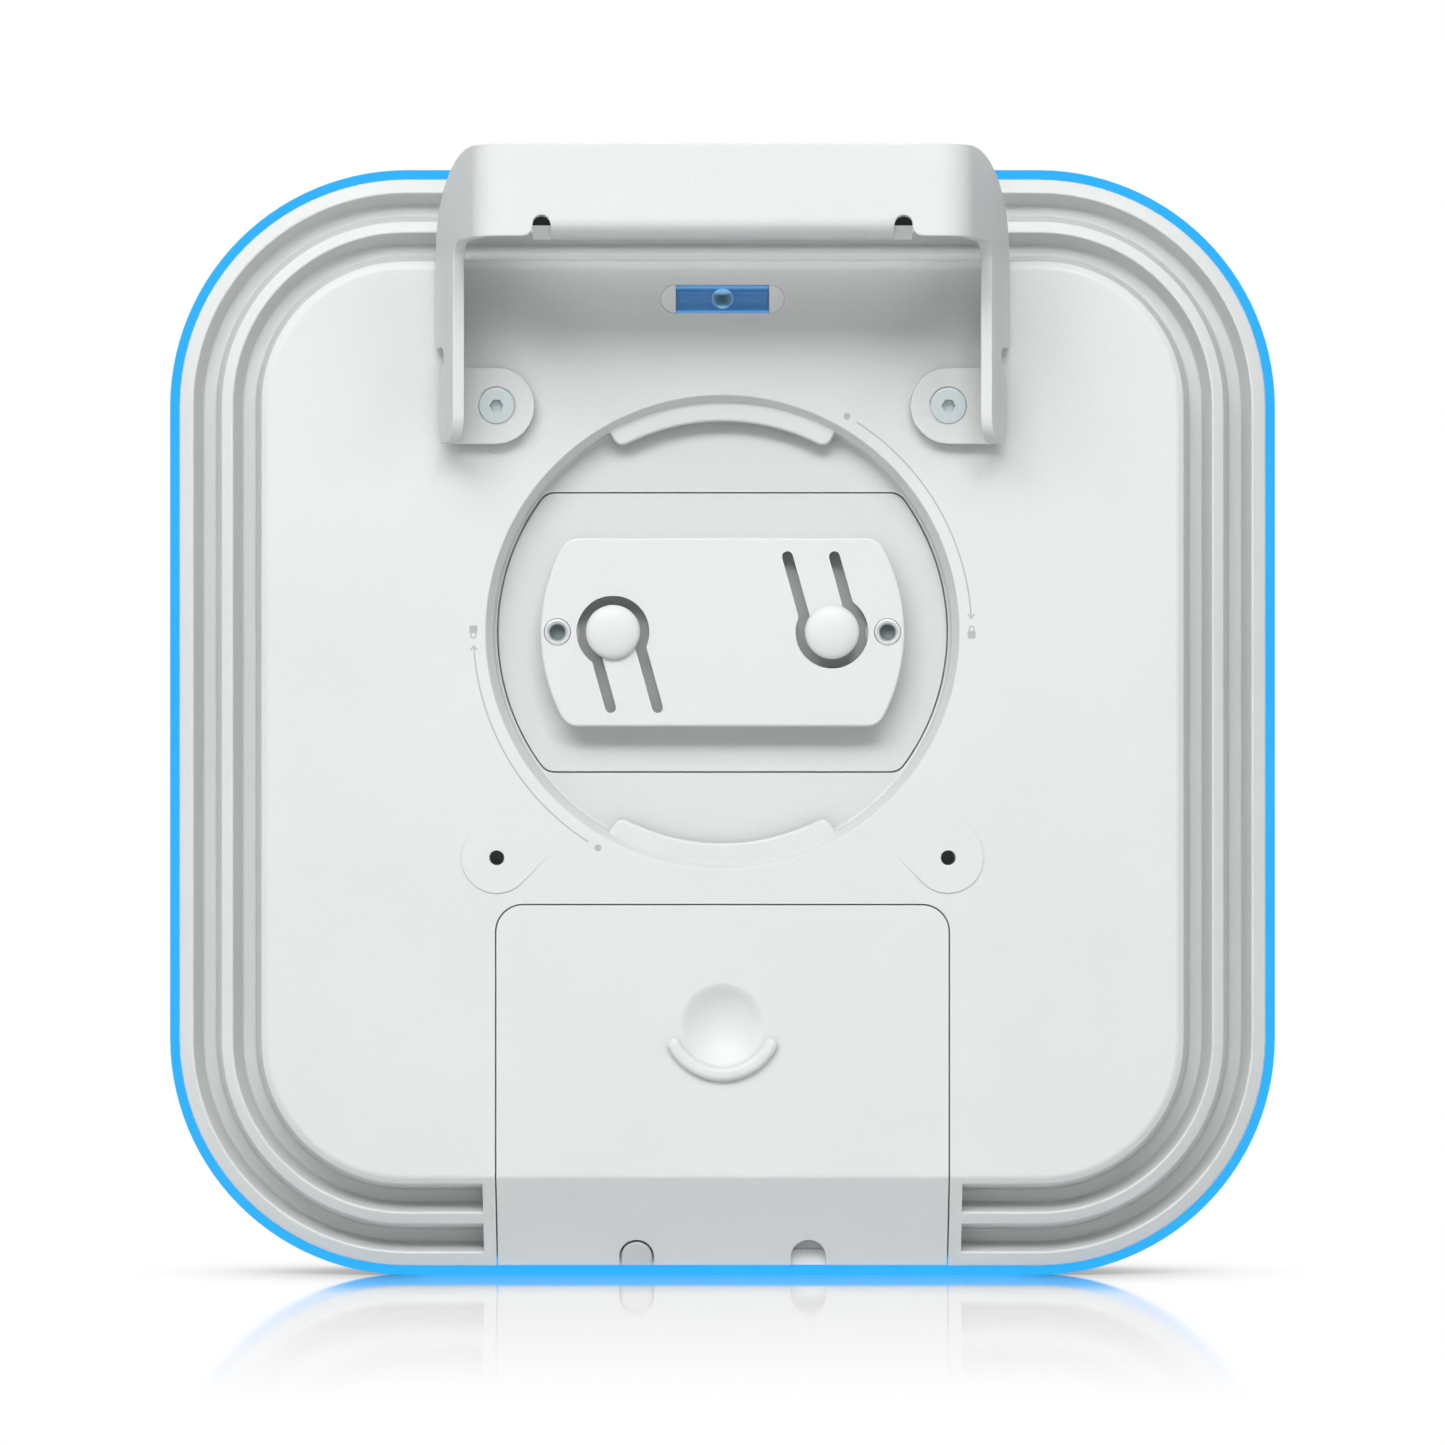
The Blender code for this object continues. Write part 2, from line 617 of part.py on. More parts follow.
def door_outline(grow):
    """The door from behind, with rounded top corners, run on past the lower edge."""
    half = DOOR_HALF + grow
    top = DOOR_TOP + grow
    radius = DOOR_CORNER_R + grow
    low = -BODY_HALF - OVERRUN
    points = [(-half, low), (half, low)]
    points += arc(half - radius, top - radius, radius, 0, 90, 6)
    return points + arc(radius - half, top - radius, radius, 90, 180, 6)


def door_rebate_tool():
    """The step that the door lies in, down to the ledge under it."""
    sink = DOOR_WALL + SEAT_GAP
    ledge_y = PANEL_Y + sink
    top = DOOR_TOP + OVERRUN
    low = BODY_HALF + OVERRUN / 2
    low_y = border_y(low) + sink / math.cos(SLOPE_ANGLE)
    behind = PANEL_Y - OVERRUN
    side = [(behind, top), (ledge_y, top), (ledge_y, -slope_half(ledge_y, sink)),
            (low_y, -low), (behind, -low)]
    tool = prism(door_outline(SEAM_GAP / 2), behind - OVERRUN, OVERRUN)
    keep(tool, side_prism(side, -BODY_HALF, BODY_HALF))
    return tool


def rail_section():
    """Depths of a door rail's foot, as (back, front)."""
    front = DOOR_INNER_Y + RAIL_DROP
    return front - RAIL_FOOT_THICK, front


def rail_edges():
    """A rail across X: inside of its web, its web's outer face and the end of its foot."""
    web = BAY_HALF - SEAT_GAP - SEAM_GAP / 2
    return web - RAIL_THICK, web, web + RAIL_FOOT


def bay_tools():
    tools = [prism(place(rounded_box(BAY_HALF, (BAY_TOP - BAY_BOTTOM) / 2, DOOR_CORNER_R / 2),
                         0, (BAY_TOP + BAY_BOTTOM) / 2), PANEL_Y - OVERRUN, BAY_FLOOR_Y)]
    foot_back, foot_front = rail_section()
    foot_end = rail_edges()[2] + SLIDE_GAP
    groove_low = -slope_half(foot_front + SLIDE_GAP, DOOR_WALL) - OVERRUN / 5
    for side in (-1, 1):
        across = sorted((side * (BAY_HALF - OVERRUN / 5), side * foot_end))
        tools.append(box(across, (foot_back - SLIDE_GAP, foot_front + SLIDE_GAP),
                         (groove_low, DOOR_TOP - RAIL_START + SLIDE_GAP)))
        channel = NOTCH_R + PLUG_LAP + SEAM_GAP
        tools.append(box((side * NOTCH_X - channel, side * NOTCH_X + channel), (PANEL_Y, -SEAT_GAP),
                         (-BODY_HALF - OVERRUN, BAY_BOTTOM + OVERRUN / 5)))
        half = JACK_WIDTH / 2 + SEAT_GAP
        top, low = jack_ends()
        tools.append(box((side * NOTCH_X - half, side * NOTCH_X + half),
                         (BAY_FLOOR_Y - OVERRUN / 5, BAY_FLOOR_Y + BAY_WALL + OVERRUN / 5),
                         (low - SEAT_GAP, top + SEAT_GAP)))
    tools.append(rod(RESET_R + SEAT_GAP, BAY_FLOOR_Y - OVERRUN / 5, BAY_FLOOR_Y + BAY_WALL + OVERRUN / 5,
                     0, RESET_Z, SMALL_STEPS - 4))
    return tools


def jack_ends():
    top = BAY_TOP - JACK_DROP
    return top, top - JACK_LENGTH


def level_pocket_tool():
    half = LEVEL_POCKET_LENGTH / 2
    radius = LEVEL_POCKET_WIDTH / 2
    points = arc(half - radius, LEVEL_Z, radius, -90, 90, 8) + arc(radius - half, LEVEL_Z, radius, 90, 270, 8)
    return prism(points, PANEL_Y - OVERRUN, level_floor())


def boss_pad(side, z):
    """Raised pad round a boss, with straight edges that run towards the recess."""
    towards = math.degrees(math.atan2(RECESS_Z - z, -side * BOSS_X))
    reach = math.hypot(BOSS_X, RECESS_Z - z) - RECESS_R - BOSS_PAD_R / 2
    run = Vector((math.cos(math.radians(towards)), math.sin(math.radians(towards)))) * reach
    points = arc(side * BOSS_X, z, BOSS_PAD_R, towards + 90, towards + 270, 12)
    points += [(points[-1][0] + run.x, points[-1][1] + run.y), (points[0][0] + run.x, points[0][1] + run.y)]
    return prism(points, PAD_Y, PANEL_Y + PANEL_WALL / 2)


def build_rear_housing():
    edge_out, edge_in = panel_edge()
    housing = body_solid([(SHELF_HALF, RIM_Y), (SHELF_HALF, LED_SHELF_Y), (WALL_HALF, LED_SHELF_Y),
                          (WALL_HALF, -SEAT_GAP), (LIP_HALF, -SEAT_GAP), (LIP_HALF, LIP_Y), edge_out, edge_in])
    # A groove turns each corner in the same facets as the body, where the exact solver leaves folded faces
    for index in range(len(GROOVE_DEPTHS)):
        combine(housing, groove_tool(index), "DIFFERENCE", "MANIFOLD")
    bosses = [(side, z) for side in (-1, 1) for z in (BOSS_LOW_Z, BOSS_TOP_Z)]
    for side, z in bosses:
        add(housing, boss_pad(side, z))
    cut(housing, housing_pocket(), recess_tool())
    cut(housing, door_rebate_tool(), *bay_tools())
    cut(housing, level_pocket_tool())
    for side, z in bosses:
        cut(housing, rod(BOSS_HOLE_R, PAD_Y - OVERRUN / 5, PANEL_Y + BOSS_HOLE_DEPTH, side * BOSS_X, z))
    for x, z in post_places():
        cut(housing, rod(STUD_HOLE_R, BOARD_Y - STUD_LENGTH - 2 * SEAT_GAP, BOARD_Y + OVERRUN, x, z))
    finish(housing, "rear_housing", WHITE_PAINT)


def build_recess_cup():
    """Cup under the hole in the panel, with the bayonet tabs and the seat of the lock insert."""
    top = PANEL_Y + PANEL_WALL + SEAT_GAP
    outer = RECESS_R + DRUM_WALL
    cup = turned([(outer + CUP_FLANGE, top), (outer + CUP_FLANGE, top + CUP_FLANGE_THICK),
                  (outer, top + CUP_FLANGE_THICK), (outer, DRUM_Y)], 0, RECESS_Z, ROUND_STEPS)
    cut(cup, recess_tool(), prism(insert_outline(SEAM_GAP / 2), PANEL_Y, INSERT_POCKET_Y))
    for x, z in insert_screw_places():
        cut(cup, rod(INSERT_POST_R + SEAT_GAP, INSERT_SEAT_Y, DRUM_Y + OVERRUN / 5, x, z))
    finish(cup, "recess_cup", WHITE_PAINT)


# Light ring, radome and gasket

def build_light_ring():
    inner = BODY_HALF - RING_WIDTH
    ease = RING_DEPTH / 8
    ring = body_solid([(inner, 0), (BODY_HALF - ease, 0), (BODY_HALF, ease), (BODY_HALF, RING_DEPTH - ease),
                       (BODY_HALF - ease, RING_DEPTH), (inner, RING_DEPTH)], closed=True)
    finish(ring, "light_ring", LIGHT_GUIDE)


def build_front_radome():
    rim_y = RING_DEPTH + SEAT_GAP
    rim = BODY_HALF - RADOME_STEP
    shoulder_y = FRONT_DEPTH - RADOME_EDGE_R
    shoulder = rim - RADOME_DRAFT
    inner_r = RADOME_EDGE_R - RADOME_WALL
    centre = shoulder - RADOME_EDGE_R
    outside = [(rim, rim_y)] + arc(centre, shoulder_y, RADOME_EDGE_R, 0, 90, 6)
    rib_y = RIM_Y + GASKET_THICK + 2 * SEAT_GAP
    rib = POCKET_HALF
    inside = [(centre + half, shoulder_y + y) for half, y in arc(0, 0, inner_r, 90, 0, 4)]
    inside += [(rim - RADOME_WALL, rib_y + 2 * RADOME_RIB), (rib, rib_y + RADOME_RIB), (rib, rib_y),
               (rim - RADOME_WALL, rib_y), (rim - RADOME_WALL, rim_y)]
    finish(body_solid(inside + outside), "front_radome", RADOME_PLASTIC)


def build_housing_gasket():
    back = RIM_Y + SEAT_GAP
    inner, outer = POCKET_HALF + SEAT_GAP, SHELF_HALF - SEAT_GAP
    gasket = body_solid([(inner, back), (outer, back), (outer, back + GASKET_THICK),
                         (inner, back + GASKET_THICK)], closed=True)
    finish(gasket, "housing_gasket", GASKET_RUBBER)


def build_led_strips():
    """A strip on each straight side, with lamps that face out into the light ring."""
    foot = SHELF_HALF + SEAT_GAP
    face = foot + LED_STRIP_THICK
    tip = WALL_HALF
    half = CORNER_CENTRE - LED_STRIP_INSET
    pitch = 2 * half / LED_COUNT
    points = [(half, foot), (-half, foot), (-half, face)]
    for i in range(LED_COUNT):
        middle = -half + (i + 0.5) * pitch
        left, right = middle - LED_WIDTH / 2, middle + LED_WIDTH / 2
        points += [(left, face), (left, tip), (right, tip), (right, face)]
    points.append((half, face))
    back = LED_SHELF_Y + SEAT_GAP
    for name, turn in (("top", 0), ("left", 90), ("bottom", 180), ("right", 270)):
        strip = prism(points, back, back + LED_STRIP_DEPTH)
        strip.data.transform(Matrix.Rotation(math.radians(-turn), 4, "Y"))
        finish(strip, name + "_led_strip", STRIP_WHITE)


# Lock insert, latch fingers and bushes

def finger_axes():
    """Along the finger, from the button to its root, and across it, for the left finger."""
    tilt = math.radians(FINGER_TILT)
    return Vector((math.sin(tilt), -math.cos(tilt))), Vector((math.cos(tilt), math.sin(tilt)))


def finger_edge(offset, z):
    """Point of a line beside the left finger's axis, at a height below the button."""
    along, across = finger_axes()
    start = Vector((-LATCH_X, 0)) + across * offset
    return start + along * ((z - start.y) / along.y)


def finger_tools(turn):
    """Openings in the platform round one finger: the button's well and the tongue's slot."""
    along, across = finger_axes()
    wide = FINGER_HALF + FINGER_SLOT
    button = Vector((-LATCH_X, 0))
    slot = [button - across * wide, button + across * wide,
            finger_edge(wide, -FINGER_ROOT), finger_edge(-wide, -FINGER_ROOT)]
    through = (PANEL_Y - OVERRUN, PANEL_Y + PLATFORM_WALL + OVERRUN / 20)
    well = arc(-LATCH_X, 0, BUTTON_WELL_R, 0, 360, 28)[:-1]
    return (prism(place(well, 0, RECESS_Z, turn), *through),
            prism(place([tuple(point) for point in slot], 0, RECESS_Z, turn), *through))


def finger_outline():
    along, across = finger_axes()
    neck = math.degrees(math.asin(FINGER_HALF / BUTTON_R))
    axis = math.degrees(math.atan2(along.y, along.x))
    points = arc(-LATCH_X, 0, BUTTON_R, axis + neck, axis + 360 - neck, 22)
    root = SEAT_GAP - FINGER_ROOT
    return points + [tuple(finger_edge(-FINGER_HALF, root)), tuple(finger_edge(FINGER_HALF, root))]


def finger_pivot(turn):
    """Middle of the root line, halfway through the finger."""
    root = finger_edge(0, SEAT_GAP - FINGER_ROOT)
    return (turn * root.x, PANEL_Y + PLATFORM_WALL / 2, RECESS_Z + turn * root.y)


def build_latch_finger(name, turn):
    finger = prism(place(finger_outline(), 0, RECESS_Z, turn), PANEL_Y, PANEL_Y + PLATFORM_WALL)
    sphere = (BUTTON_R ** 2 + BUTTON_DOME ** 2) / (2 * BUTTON_DOME)
    reach = math.asin((BUTTON_R - SEAT_GAP) / sphere)
    dome = [(BUTTON_R - SEAT_GAP, PANEL_Y + PLATFORM_WALL / 2)]
    for i in range(5):
        lean = reach * (1 - i / 5)
        dome.append((sphere * math.sin(lean), PANEL_Y - BUTTON_DOME + sphere * (1 - math.cos(lean))))
    dome.append((BUTTON_R / 12, PANEL_Y - BUTTON_DOME))
    add(finger, turned(dome, -turn * LATCH_X, RECESS_Z, 22))
    finish(finger, name, WHITE_PLASTIC, finger_pivot(turn))


def build_lock_insert():
    insert = prism(insert_outline(-SEAM_GAP / 2), RECESS_FLOOR_Y, INSERT_SEAT_Y)
    add(insert, prism(platform_outline(), PANEL_Y, INSERT_SEAT_Y - INSERT_BASE / 4))
    cavity = prism(platform_outline(-PLATFORM_WALL), PANEL_Y + PLATFORM_WALL, INSERT_SEAT_Y + OVERRUN)
    for side in (-1, 1):
        cut(cavity, rod(BUSH_BOSS_R, PANEL_Y - OVERRUN, PANEL_Y + BUSH_LENGTH, side * BUSH_X, RECESS_Z))
    cut(insert, cavity, *finger_tools(1), *finger_tools(-1))
    for side in (-1, 1):
        cut(insert, rod(BUSH_R + SEAT_GAP, PANEL_Y - OVERRUN, PANEL_Y + BUSH_LENGTH + OVERRUN / 5,
                        side * BUSH_X, RECESS_Z))
    post_y = DRUM_Y - SEAT_GAP
    for x, z in insert_screw_places():
        add(insert, rod(INSERT_POST_R, INSERT_SEAT_Y - INSERT_BASE / 2, post_y, x, z))
        cut(insert, rod(INSERT_SCREW_R + SEAT_GAP, INSERT_SEAT_Y - INSERT_BASE / 2, post_y + OVERRUN, x, z, 14))
    finish(insert, "lock_insert", WHITE_PLASTIC)


def build_insert_screws():
    seat = DRUM_Y + SEAT_GAP
    for number, (x, z) in enumerate(insert_screw_places(), 1):
        screw = turned([(INSERT_SCREW_R, INSERT_SEAT_Y), (INSERT_SCREW_R, seat), (INSERT_SCREW_HEAD_R, seat),
                        (INSERT_SCREW_HEAD_R, seat + INSERT_SCREW_HEAD / 2),
                        (INSERT_SCREW_HEAD_R / 2, seat + INSERT_SCREW_HEAD)], x, z, 14)
        finish(screw, "insert_screw_%d" % number, SCREW_STEEL)


def build_lock_bushes():
    back = PANEL_Y - BUSH_PROUD
    ease = BUSH_PROUD
    for name, side in (("left_lock_bush", -1), ("right_lock_bush", 1)):
        bush = turned([(BUSH_BORE_R, back + BUSH_LENGTH), (BUSH_BORE_R, back + ease),
                       (BUSH_BORE_R + ease, back), (BUSH_R - ease, back), (BUSH_R, back + ease), (BUSH_R, back + BUSH_LENGTH)],
                      side * BUSH_X, RECESS_Z, SMALL_STEPS, closed=True)
        finish(bush, name, BUSH_STEEL)


# Port door, blank plug and bay pieces

def door_foot_y():
    return -SLIDE_GAP


def arch(x, half, top_z):
    """Outline of a cable exit: straight sides under a round top."""
    low = -BODY_HALF - OVERRUN
    return [(x - half, low), (x + half, low)] + arc(x, top_z, half, 0, 180, 10)


def build_port_door():
    edge_out, edge_in = panel_edge()
    low = LIP_HALF - DOOR_FOOT_INSET
    top = DOOR_TOP + OVERRUN
    foot_y = door_foot_y()
    side = [(PANEL_Y, top), (PANEL_Y, -edge_in[0]), (edge_out[1], -edge_out[0]), (border_y(low), -low),
            (foot_y, -low), (foot_y, -slope_half(foot_y, DOOR_WALL)),
            (DOOR_INNER_Y, -slope_half(DOOR_INNER_Y, DOOR_WALL)), (DOOR_INNER_Y, top)]
    door = side_prism(side, -BODY_HALF, BODY_HALF)
    keep(door, prism(door_outline(-SEAM_GAP / 2), PANEL_Y - OVERRUN, OVERRUN))
    add(door, rod(DIMPLE_R + DIMPLE_WALL, PANEL_Y + DOOR_WALL / 2, PANEL_Y + DIMPLE_DEPTH + DIMPLE_WALL,
                  0, DIMPLE_Z, 28))
    add(door, prism(ridge_outline(), PANEL_Y - RIDGE_RISE, PANEL_Y + DOOR_WALL / 2))
    cut(door, dimple_tool())
    foot_back, foot_front = rail_section()
    inner, web, foot_end = rail_edges()
    rail = (RAIL_STOP - PANEL_HALF, DOOR_TOP - RAIL_START)
    for side in (-1, 1):
        add(door, box(sorted((side * inner, side * web)), (PANEL_Y + DOOR_WALL / 2, foot_front), rail))
        add(door, box(sorted((side * (inner + RAIL_THICK / 2), side * foot_end)),
                      (foot_back, foot_front), rail))
        cut(door, prism(arch(side * NOTCH_X, NOTCH_R, NOTCH_Z), PANEL_Y - OVERRUN, OVERRUN))
    finish(door, "port_door", WHITE_PLASTIC, (0, PANEL_Y, DOOR_TOP))


def ridge_outline():
    """Crescent under the dimple, with round ends."""
    centre = DIMPLE_Z + RIDGE_LIFT
    start, end = 270 - RIDGE_HALF_ANGLE, 270 + RIDGE_HALF_ANGLE
    half = RIDGE_WIDTH / 2
    points = arc(0, centre, RIDGE_R + half, start, end, 16)
    for angle, first in ((end, end), (start, start + 180)):
        x = RIDGE_R * math.cos(math.radians(angle))
        z = centre + RIDGE_R * math.sin(math.radians(angle))
        points += arc(x, z, half, first, first + 180, 5)[1:-1]
        if angle == end:
            points += arc(0, centre, RIDGE_R - half, end, start, 16)
    return points


def dimple_tool():
    sphere = (DIMPLE_R ** 2 + DIMPLE_DEPTH ** 2) / (2 * DIMPLE_DEPTH)
    reach = math.asin(DIMPLE_R / sphere)
    bottom = PANEL_Y + DIMPLE_DEPTH
    profile = [(DIMPLE_R, PANEL_Y - OVERRUN)]
    for i in range(6):
        lean = reach * (1 - i / 6)
        profile.append((sphere * math.sin(lean), bottom - sphere * (1 - math.cos(lean))))
    profile.append((DIMPLE_R / 14, bottom))
    return turned(profile, 0, DIMPLE_Z, 28)


def build_blank_plug():
    """Blank in the left cable exit: flush outside, with a lip behind the door."""
    x = -NOTCH_X
    foot = door_foot_y() - SLIDE_GAP
    behind = PANEL_Y - OVERRUN
    low = LIP_HALF - DOOR_FOOT_INSET
    top = LIP_HALF - NOTCH_TOP - OVERRUN

    def layer(from_sink, to_sink):
        """A slab between two depths under the slope, down to the foot of the door."""
        outer = [(border_y(half) + from_sink / math.cos(SLOPE_ANGLE), -half) for half in (top, low)]
        if outer[1][0] > foot:
            end = slope_half(foot, from_sink)
            outer[1] = (foot, -end)
        inner_low = slope_half(foot, to_sink)
        inner_top = (border_y(top) + to_sink / math.cos(SLOPE_ANGLE), -top)
        middle = [(foot, -low)] if outer[1][0] < foot else []
        section = outer + middle + [(foot, -inner_low), inner_top]
        return side_prism(section, x - BODY_CORNER_R, x + BODY_CORNER_R)

    flange_sink = DOOR_WALL + SEAT_GAP
    plug = prism(arch(x, NOTCH_R - PLUG_GROOVE, NOTCH_Z), behind, OVERRUN)
    keep(plug, layer(0.0, flange_sink + PLUG_FLANGE / 2))
    flange = prism(arch(x, NOTCH_R + PLUG_LAP, NOTCH_Z), behind, OVERRUN)
    keep(flange, layer(flange_sink, flange_sink + PLUG_FLANGE))
    add(plug, flange)
    finish(plug, "cable_blank_plug", PLUG_RUBBER)


def build_port_jacks():
    """Sockets that face the cable exits, on legs that reach through the bay's floor to the board."""
    socket_width, socket_height, socket_depth = JACK_SOCKET
    key_width, key_height = JACK_KEY
    top, low = jack_ends()
    sill = BAY_FLOOR_Y - JACK_SILL
    lintel = sill - socket_height
    depth = (low - OVERRUN, low + socket_depth)
    for name, side in (("left_port_jack", -1), ("right_port_jack", 1)):
        x = side * NOTCH_X
        jack = box((x - JACK_WIDTH / 2, x + JACK_WIDTH / 2),
                   (lintel - key_height - JACK_WALL, BOARD_Y - SEAT_GAP), (low, top))
        cut(jack, box((x - socket_width / 2, x + socket_width / 2), (lintel, sill), depth))
        cut(jack, box((x - key_width / 2, x + key_width / 2),
                      (lintel - key_height, lintel + key_height), depth))
        finish(jack, name, JACK_BLACK)


def build_reset():
    shelf = BAY_FLOOR_Y + BAY_WALL + SEAT_GAP
    button = turned([(RESET_R * 0.8, BAY_FLOOR_Y - RESET_PROUD), (RESET_R, BAY_FLOOR_Y - RESET_PROUD * 0.9),
                     (RESET_R, shelf), (RESET_COLLAR_R, shelf), (RESET_COLLAR_R, shelf + RESET_COLLAR)],
                    0, RESET_Z, 16)
    finish(button, "reset_button", BUTTON_GREY, (0, BAY_FLOOR_Y, RESET_Z))
    half = SWITCH_SIDE / 2
    switch_back = shelf + RESET_COLLAR + RESET_TRAVEL + SEAT_GAP
    switch = box((-half, half), (switch_back, BOARD_Y - SEAT_GAP), (RESET_Z - half, RESET_Z + half))
    finish(switch, "reset_switch", JACK_BLACK)


# Main board, heat path and shields

def build_main_board():
    board = prism(rounded_box(BOARD_HALF, BOARD_HALF, BOARD_CORNER_R), BOARD_Y, BOARD_FRONT_Y)
    for x, z in post_places():
        cut(board, rod(STUD_HOLE_R, BOARD_Y - OVERRUN, BOARD_FRONT_Y + OVERRUN, x, z))
    finish(board, "main_board", BOARD_GREEN)


def build_shields():
    back = BOARD_FRONT_Y + SEAT_GAP
    for name, x, (width, height) in (("processor_shield", 0.0, PROCESSOR_SHIELD),
                                     ("left_radio_shield", -RADIO_X, RADIO_SHIELD),
                                     ("right_radio_shield", RADIO_X, RADIO_SHIELD)):
        shell = prism(place(rounded_box(width / 2, height / 2, 2 * SHIELD_WALL, 3), x, RECESS_Z),
                      back, back + SHIELD_HEIGHT)
        inner = rounded_box(width / 2 - SHIELD_WALL, height / 2 - SHIELD_WALL, SHIELD_WALL, 3)
        cut(shell, prism(place(inner, x, RECESS_Z), back - OVERRUN, back + SHIELD_HEIGHT - SHIELD_WALL))
        finish(shell, name, SHIELD_TIN)


def build_heat_path():
    width, height = SPREADER
    back = DRUM_Y + SEAT_GAP
    pad_front = BOARD_Y - SEAT_GAP
    pad_back = pad_front - PAD_THICK
    spreader = prism(place(rounded_box(width / 2, height / 2, SPREADER_FOOT), 0, RECESS_Z),
                     back, back + SPREADER_FOOT)
    top = prism(place(rounded_box(SPREADER_TOP / 2, SPREADER_TOP / 2, SPREADER_FOOT / 2), 0, RECESS_Z),
                back + SPREADER_FOOT / 2, pad_back - SEAT_GAP)
    add(spreader, top)
    finish(spreader, "heat_spreader", ALUMINIUM)
    pad = prism(place(rounded_box(PAD_SIDE / 2, PAD_SIDE / 2, PAD_THICK), 0, RECESS_Z), pad_back, pad_front)
    finish(pad, "thermal_pad", PAD_GREY)


# Antennas and what carries them

def build_antenna_plate():
    plate = prism(rounded_box(BOARD_HALF, BOARD_HALF, BOARD_CORNER_R), PLATE_BACK_Y, PLATE_FRONT_Y)
    for x, z in post_places():
        cut(plate, rod(PLATE_SCREW_R + SEAT_GAP, PLATE_BACK_Y - OVERRUN, PLATE_FRONT_Y + OVERRUN, x, z, 16))
    for x, z in patch_places():
        cut(plate, rod(2 * PATCH_FEED_R, PLATE_BACK_Y - OVERRUN, PLATE_FRONT_Y + OVERRUN, x, feed_z(z), 16))
    finish(plate, "antenna_plate", ALUMINIUM)


def patch_places():
    return [(x, z) for x in (-PATCH_PLACE, PATCH_PLACE) for z in (-PATCH_PLACE, PATCH_PLACE)]


def feed_z(z):
    return z + math.copysign(PATCH_FEED_OUT, z)


def build_patch_antennas():
    """Square patch on a post, with a feed leg through the plate down to the main board."""
    corner = PATCH_SIDE / 10
    for number, (x, z) in enumerate(patch_places(), 1):
        patch = prism(place(rounded_box(PATCH_SIDE / 2, PATCH_SIDE / 2, corner, 3), x, z),
                      PATCH_Y, PATCH_Y + PATCH_THICK)
        middle = PATCH_Y + PATCH_THICK / 2
        add(patch, rod(PATCH_POST_R, PLATE_FRONT_Y + SEAT_GAP, middle, x, z, 16))
        add(patch, rod(PATCH_FEED_R, BOARD_FRONT_Y + SEAT_GAP, middle, x, feed_z(z), 10))
        finish(patch, "patch_antenna_%d" % number, BRASS)


def build_standoffs():
    """Hexagon pillars whose studs hold the board, with a thread for the antenna plate."""
    back = BOARD_FRONT_Y + SEAT_GAP
    front = PLATE_BACK_Y - SEAT_GAP
    corner = STANDOFF_FLATS / math.sqrt(3)
    for number, (x, z) in enumerate(post_places(), 1):
        pillar = prism(arc(x, z, corner, 0, 360, 6)[:-1], back, front)
        add(pillar, rod(STUD_R, BOARD_Y - STUD_LENGTH, back + STANDOFF_FLATS / 2, x, z, 16))
        screw_end = PLATE_FRONT_Y - PLATE_SCREW_LENGTH
        cut(pillar, rod(PLATE_SCREW_R + SEAT_GAP, screw_end - SEAT_GAP, front + OVERRUN, x, z, 16))
        finish(pillar, "board_standoff_%d" % number, BRASS)
        seat = PLATE_FRONT_Y + SEAT_GAP
        screw = turned([(PLATE_SCREW_R, screw_end), (PLATE_SCREW_R, seat), (PLATE_SCREW_HEAD_R, seat),
                        (PLATE_SCREW_HEAD_R, seat + PLATE_SCREW_HEAD / 2),
                        (PLATE_SCREW_HEAD_R / 2, seat + PLATE_SCREW_HEAD)], x, z, 16)
        finish(screw, "plate_screw_%d" % number, SCREW_STEEL)


# Bubble level

def vial_y():
    return PANEL_Y + VIAL_SINK + VIAL_R


def build_level():
    half = VIAL_LENGTH / 2
    y = vial_y()
    vial = turned_across([(VIAL_R, -half), (VIAL_R, half), (VIAL_BORE_R, half), (VIAL_BORE_R, -half)],
                         y, LEVEL_Z, 24, closed=True)
    finish(vial, "level_vial", VIAL_PLASTIC)
    seat = half + SEAT_GAP
    stub = VIAL_BORE_R - SEAT_GAP
    for name, side in (("left_level_cap", -1), ("right_level_cap", 1)):
        profile = [(stub, side * (half - LEVEL_STUB)), (stub, side * seat)]
        for i in range(6):
            lean = math.radians(90 * i / 6)
            profile.append((LEVEL_CAP_R * math.cos(lean), side * (seat + LEVEL_CAP_R * math.sin(lean))))
        profile.append((LEVEL_CAP_R / 10, side * (seat + LEVEL_CAP_R)))
        finish(turned_across(profile, y, LEVEL_Z), name, CAP_PLASTIC)
    end = BUBBLE_LENGTH / 2 - BUBBLE_R
    profile = [(BUBBLE_R / 10, -BUBBLE_LENGTH / 2)]
    profile += [(BUBBLE_R * math.sin(math.radians(a)), -end - BUBBLE_R * math.cos(math.radians(a)))
                for a in (30, 60, 90)]
    profile += [(radius, -x) for radius, x in reversed(profile)]
    z = LEVEL_Z + VIAL_BORE_R - BUBBLE_R - SEAT_GAP
    finish(turned_across(profile, y, z, 16), "level_bubble", BUBBLE_GLOSS, (0, y, z))


# Wall bracket: a flat pattern of sheet, folded along its bends

